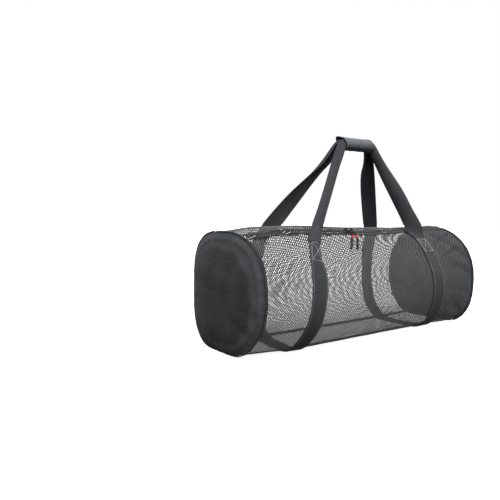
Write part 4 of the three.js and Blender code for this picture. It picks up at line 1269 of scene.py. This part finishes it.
def tube(name, line, radii, material, sides=14):
    """A round solid along a line, with a radius at each point."""
    runs = unit(np.gradient(line, axis=0))
    loops = []
    for point, run, radius in zip(line, runs, radii):
        across = unit(np.cross([0, 0, 1], run))
        up = np.cross(run, across)
        turn = np.radians(np.arange(sides) * 360 / sides)
        loops.append(point + radius * (np.outer(np.cos(turn), across) + np.outer(np.sin(turn), up)))
    return loft(name, loops, material)


def softened(name, outline, depth, rounding, material, frame_axes, seat):
    """An outline extruded, bevelled and set in a frame of three axes at a seat."""
    shape = bmesh.new()
    ring = [shape.verts.new((x, y, -depth / 2)) for x, y in outline]
    face = shape.faces.new(ring)
    grown = bmesh.ops.extrude_face_region(shape, geom=[face])
    top = [v for v in grown["geom"] if isinstance(v, bmesh.types.BMVert)]
    bmesh.ops.translate(shape, verts=top, vec=(0, 0, depth))
    bmesh.ops.recalc_face_normals(shape, faces=shape.faces)
    round_off = {"offset": rounding, "segments": 2, "profile": 0.7, "clamp_overlap": True}
    bmesh.ops.bevel(shape, geom=shape.edges[:], affect="EDGES", **round_off)
    axes = np.array(frame_axes)
    for vert in shape.verts:
        vert.co = Vector(((np.array(vert.co) @ axes) + seat) * MM)
    bmesh.ops.recalc_face_normals(shape, faces=shape.faces)
    mesh = bpy.data.meshes.new(name)
    shape.to_mesh(mesh)
    shape.free()
    mesh.materials.append(material)
    mesh.polygons.foreach_set("use_smooth", [True] * len(mesh.polygons))
    made = bpy.data.objects.new(name, mesh)
    bpy.context.collection.objects.link(made)
    return made


for name, (slot_share, hang, veer) in PULLS.items():
    x = SLIDER_AT + slot_share * SLIDER_SPACING
    zip_a = float(zip_angle(x))
    up = outward(x, zip_a, False)
    along = unit(on_skin(x + 1, zip_angle(x + 1), 0) - on_skin(x - 1, zip_angle(x - 1), 0))
    back = unit(np.cross(up, along))
    along = np.cross(back, up)
    seat = on_skin(x, zip_a, 0.3)
    body = softened(f"slider_body_{name}", CHEEKS, 12.8, 0.45, slider_zinc, (back, up, along), seat)
    bridge = softened(f"slider_bridge_{name}", ARCH, 2.3, 0.35, slider_zinc, (-along, up, back), seat)
    settle(body, "slider_metal", f"zip_slider_{name}")
    settle(bridge, "slider_metal")
    reach = PULL_END * 1.1
    top_angle = zip_a - LOOP_LENGTH / MM_PER_DEGREE
    share = np.array([0, 0.5, 1])
    drift = -reach * math.sin(math.radians(veer)) * share
    drop = reach * math.cos(math.radians(veer)) / MM_PER_DEGREE * share
    route = catmull(on_skin(x + hang + drift, top_angle - drop, 4.3))
    collar = part_of(route, 0, COLLAR_LONG, 24)
    grow_in = np.minimum(1, np.linspace(0, 1, 24) / 0.25)
    radii = 3.7 * (0.72 + 0.28 * np.sin(grow_in * math.pi / 2)) * (1 - 0.06 * (np.arange(24) > 21))
    settle(tube(f"collar_{name}", collar, radii, red_rubber, 18), "red_rubber", f"pull_collar_{name}")
    sleeve = part_of(route, SLEEVE_FROM, PULL_END, 60)
    past = np.linspace(0, 49, 60) - ROUNDED_FROM
    tip = 2.5 * np.sqrt(np.maximum(1 - (past / 2.6) ** 2, 0.02)) + 0.2
    radii = np.where(past > 0, tip, 2.7)
    settle(tube(f"sleeve_{name}", sleeve, radii, black_rubber, 14), "black_rubber", f"pull_sleeve_{name}")
    outs = np.tile(up, (len(sleeve), 1))
    ribbed = [(sleeve[2:-4], outs[2:-4])]
    ribs = grains(f"sleeve_ribs_{name}", ribbed, black_rubber, 3.3, 2.7, 7.0, 7.0, 0, 0, 14, 8)
    settle(ribs, "black_rubber")
    aim = unit(collar[1] - collar[0])
    mouth = collar[0] - aim * 0.6
    middle = seat + up * (8.45 + 0.7)
    turn = 0.7 + 0.85 + 1.1

    def near_bar(aside, high):
        return middle + back * aside + up * high

    approach = mouth - aim * 2.2
    loop = catmull(
        [
            mouth - up * 1.25,
            approach - up * 1.25,
            near_bar(-6.35, -turn),
            near_bar(0, -turn),
            near_bar(3.15, 0),
            near_bar(0, turn),
            near_bar(-6.35, turn),
            approach + up * 1.25,
            mouth + up * 1.25,
        ],
        110,
    )
    cord = tube(f"cord_loop_{name}", loop, np.full(110, 1.05), cord_braid, 10)
    settle(cord, "pull_cord", f"pull_loop_{name}")

# %% [markdown]
# ## The grip
# A pad of foam between two cloths, folded round both webs and closed on itself. Its ends
# are bound with a light grey tape, and the near end stands open and flares up at the top.
# The cloth is a roll: the same rule as the CAD wrap, with the pad puffed between its
# edges.

# %% The padded wrap
WRAP_WIDE = GRIP_DEPTH + 0.5 + WEB_THICKNESS / 2 + 1.4
WRAP_HIGH = GRIP_RADIUS + WEB_THICKNESS / 2 + 1.4
WRAP_THICK, WRAP_TURN, WRAP_START, WRAP_MOUTH, WRAP_TIP = 2.5, 410.0, -60.0, 1.5, 5.0
# the angle round the wrap, and how far each end is cut along the grip there
WRAP_NEAR = ([0, 45, 90, 120, 150, 180, 300, 360], [-8, -11, -12, -12, -3, 3, 0, -8])
WRAP_FAR = ([0, 45, 90, 150, 300, 360], [-1, -4, -8, -6, 2, -1])


def on_wrap(share, turned, depth):
    """A point of the wrap: share along it, degrees turned, and mm out from its inside."""
    share, turned = np.broadcast_arrays(np.asarray(share, float), np.asarray(turned, float))
    angle = np.radians(WRAP_START + turned)
    mouth = WRAP_MOUTH * (2 * share - 1) ** 4
    lap = (WRAP_THICK + 0.3) * smooth(turned, 285, 350)
    around = np.degrees(angle) % 360
    near_end, far_end = (1 - smooth(share, 0, 0.5)), smooth(share, 0.5, 1)
    reach = near_end * np.interp(around, *WRAP_NEAR) + far_end * np.interp(around, *WRAP_FAR)
    lift = WRAP_TIP * (1 - smooth(share, 0, 0.16)) * np.interp(around, [80, 120, 160], [0, 1, 0])
    out = depth + lap + lift + mouth
    x = GRIP_X + (share - 0.5) * GRIP_LENGTH + reach
    y = GRIP_Y - (WRAP_WIDE + out) * np.cos(angle)
    z = GRIP_HEIGHT + (WRAP_HIGH + out) * np.sin(angle)
    return np.stack([x + 0 * y, y, z], -1)


shares = np.linspace(0, 1, 61)
turned = np.linspace(0, WRAP_TURN, 110)
loops = []
for share in shares:
    edge_in = min(share, 1 - share) * GRIP_LENGTH
    end_in = np.minimum(turned, WRAP_TURN - turned) * 0.45
    nearest = np.minimum(edge_in, end_in)
    lumps = 0.35 * np.sin(share * 19 + turned / 23) * smooth(nearest, 4, 14)
    puff = WRAP_THICK * (0.55 + 0.5 * smooth(nearest, 0, 9)) + lumps
    outer = on_wrap(share, turned, puff)
    inner = on_wrap(share, turned[::-1], 0.0 * turned)
    loops.append(np.vstack([outer, inner]))
wrap = loft("grip_pad", loops, grip_cloth, ladder=True)
settle(wrap, "grip_nylon", "grip_wrap")

# %% The wrap's bound edges
def wrap_edge(name, share, material):
    """A rolled tape over one open end of the wrap."""
    line = on_wrap(share, np.linspace(2, WRAP_TURN - 2, 120), 1.1)
    return settle(tube(name, line, np.full(120, 1.3), material, 10), "grip_nylon")


wrap_edge("grip_binding_near", 0.004, piping_cloth)
wrap_edge("grip_binding_far", 0.996, grip_cloth)
lap_line = on_wrap(np.linspace(0.01, 0.99, 60), WRAP_TURN - 1, 1.3)
settle(tube("grip_lap_edge", lap_line, np.full(60, 1.1), grip_cloth, 10), "grip_nylon")
hems = []
for share in (0.05, 0.95):
    turns = np.linspace(60, WRAP_TURN - 10, 160)
    line = on_wrap(share, turns, WRAP_THICK * 0.92)
    out = unit(on_wrap(share, turns, 4.0) - on_wrap(share, turns, 0.0))
    hems.append((line, out))
settle(grains("grip_stitches", hems, black_thread, 3.0, 2.5, 0.7, 0.5), "grip_nylon")

# %% [markdown]
# ## The floor seams
# Inside each floor seam a narrow tape covers the net's cut edges. It is seen through the
# net as a dark line, and it keeps its shape from the frame: a flat strip laid inside.

# %% Tapes inside the floor seams
for name, seam in (("front", FRONT_SEAM), ("back", BACK_SEAM)):
    x = np.linspace(2.2 - NET_END, NET_END - 2.2, 260)
    loops = []
    for place in x:
        spread = seam + np.linspace(-1, 1, 5) * 6.8 / MM_PER_DEGREE
        high = -2.1 + 0.15 * math.sin(place / 13)
        loops.append(np.vstack([on_skin(place, spread, high), on_skin(place, spread[::-1], high - 1.1)]))
    made = loft(f"seam_cloth_{name}", loops, binding_tape, ladder=True)
    settle(made, "binding_tape", f"seam_tape_{name}")

# %% [markdown]
# ## Close the lesson
# The CAD nodes that are left showing are listed, since they need finishes too, and the
# visual model's box is printed so that its size can be set against the frame's.

# %% Sizes and the end
shown = [n for n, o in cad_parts.items() if not o.hide_render]
print("CAD nodes still shown:", shown)
low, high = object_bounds()
print("visual box", [round(v, 3) for v in (*low, *high)])
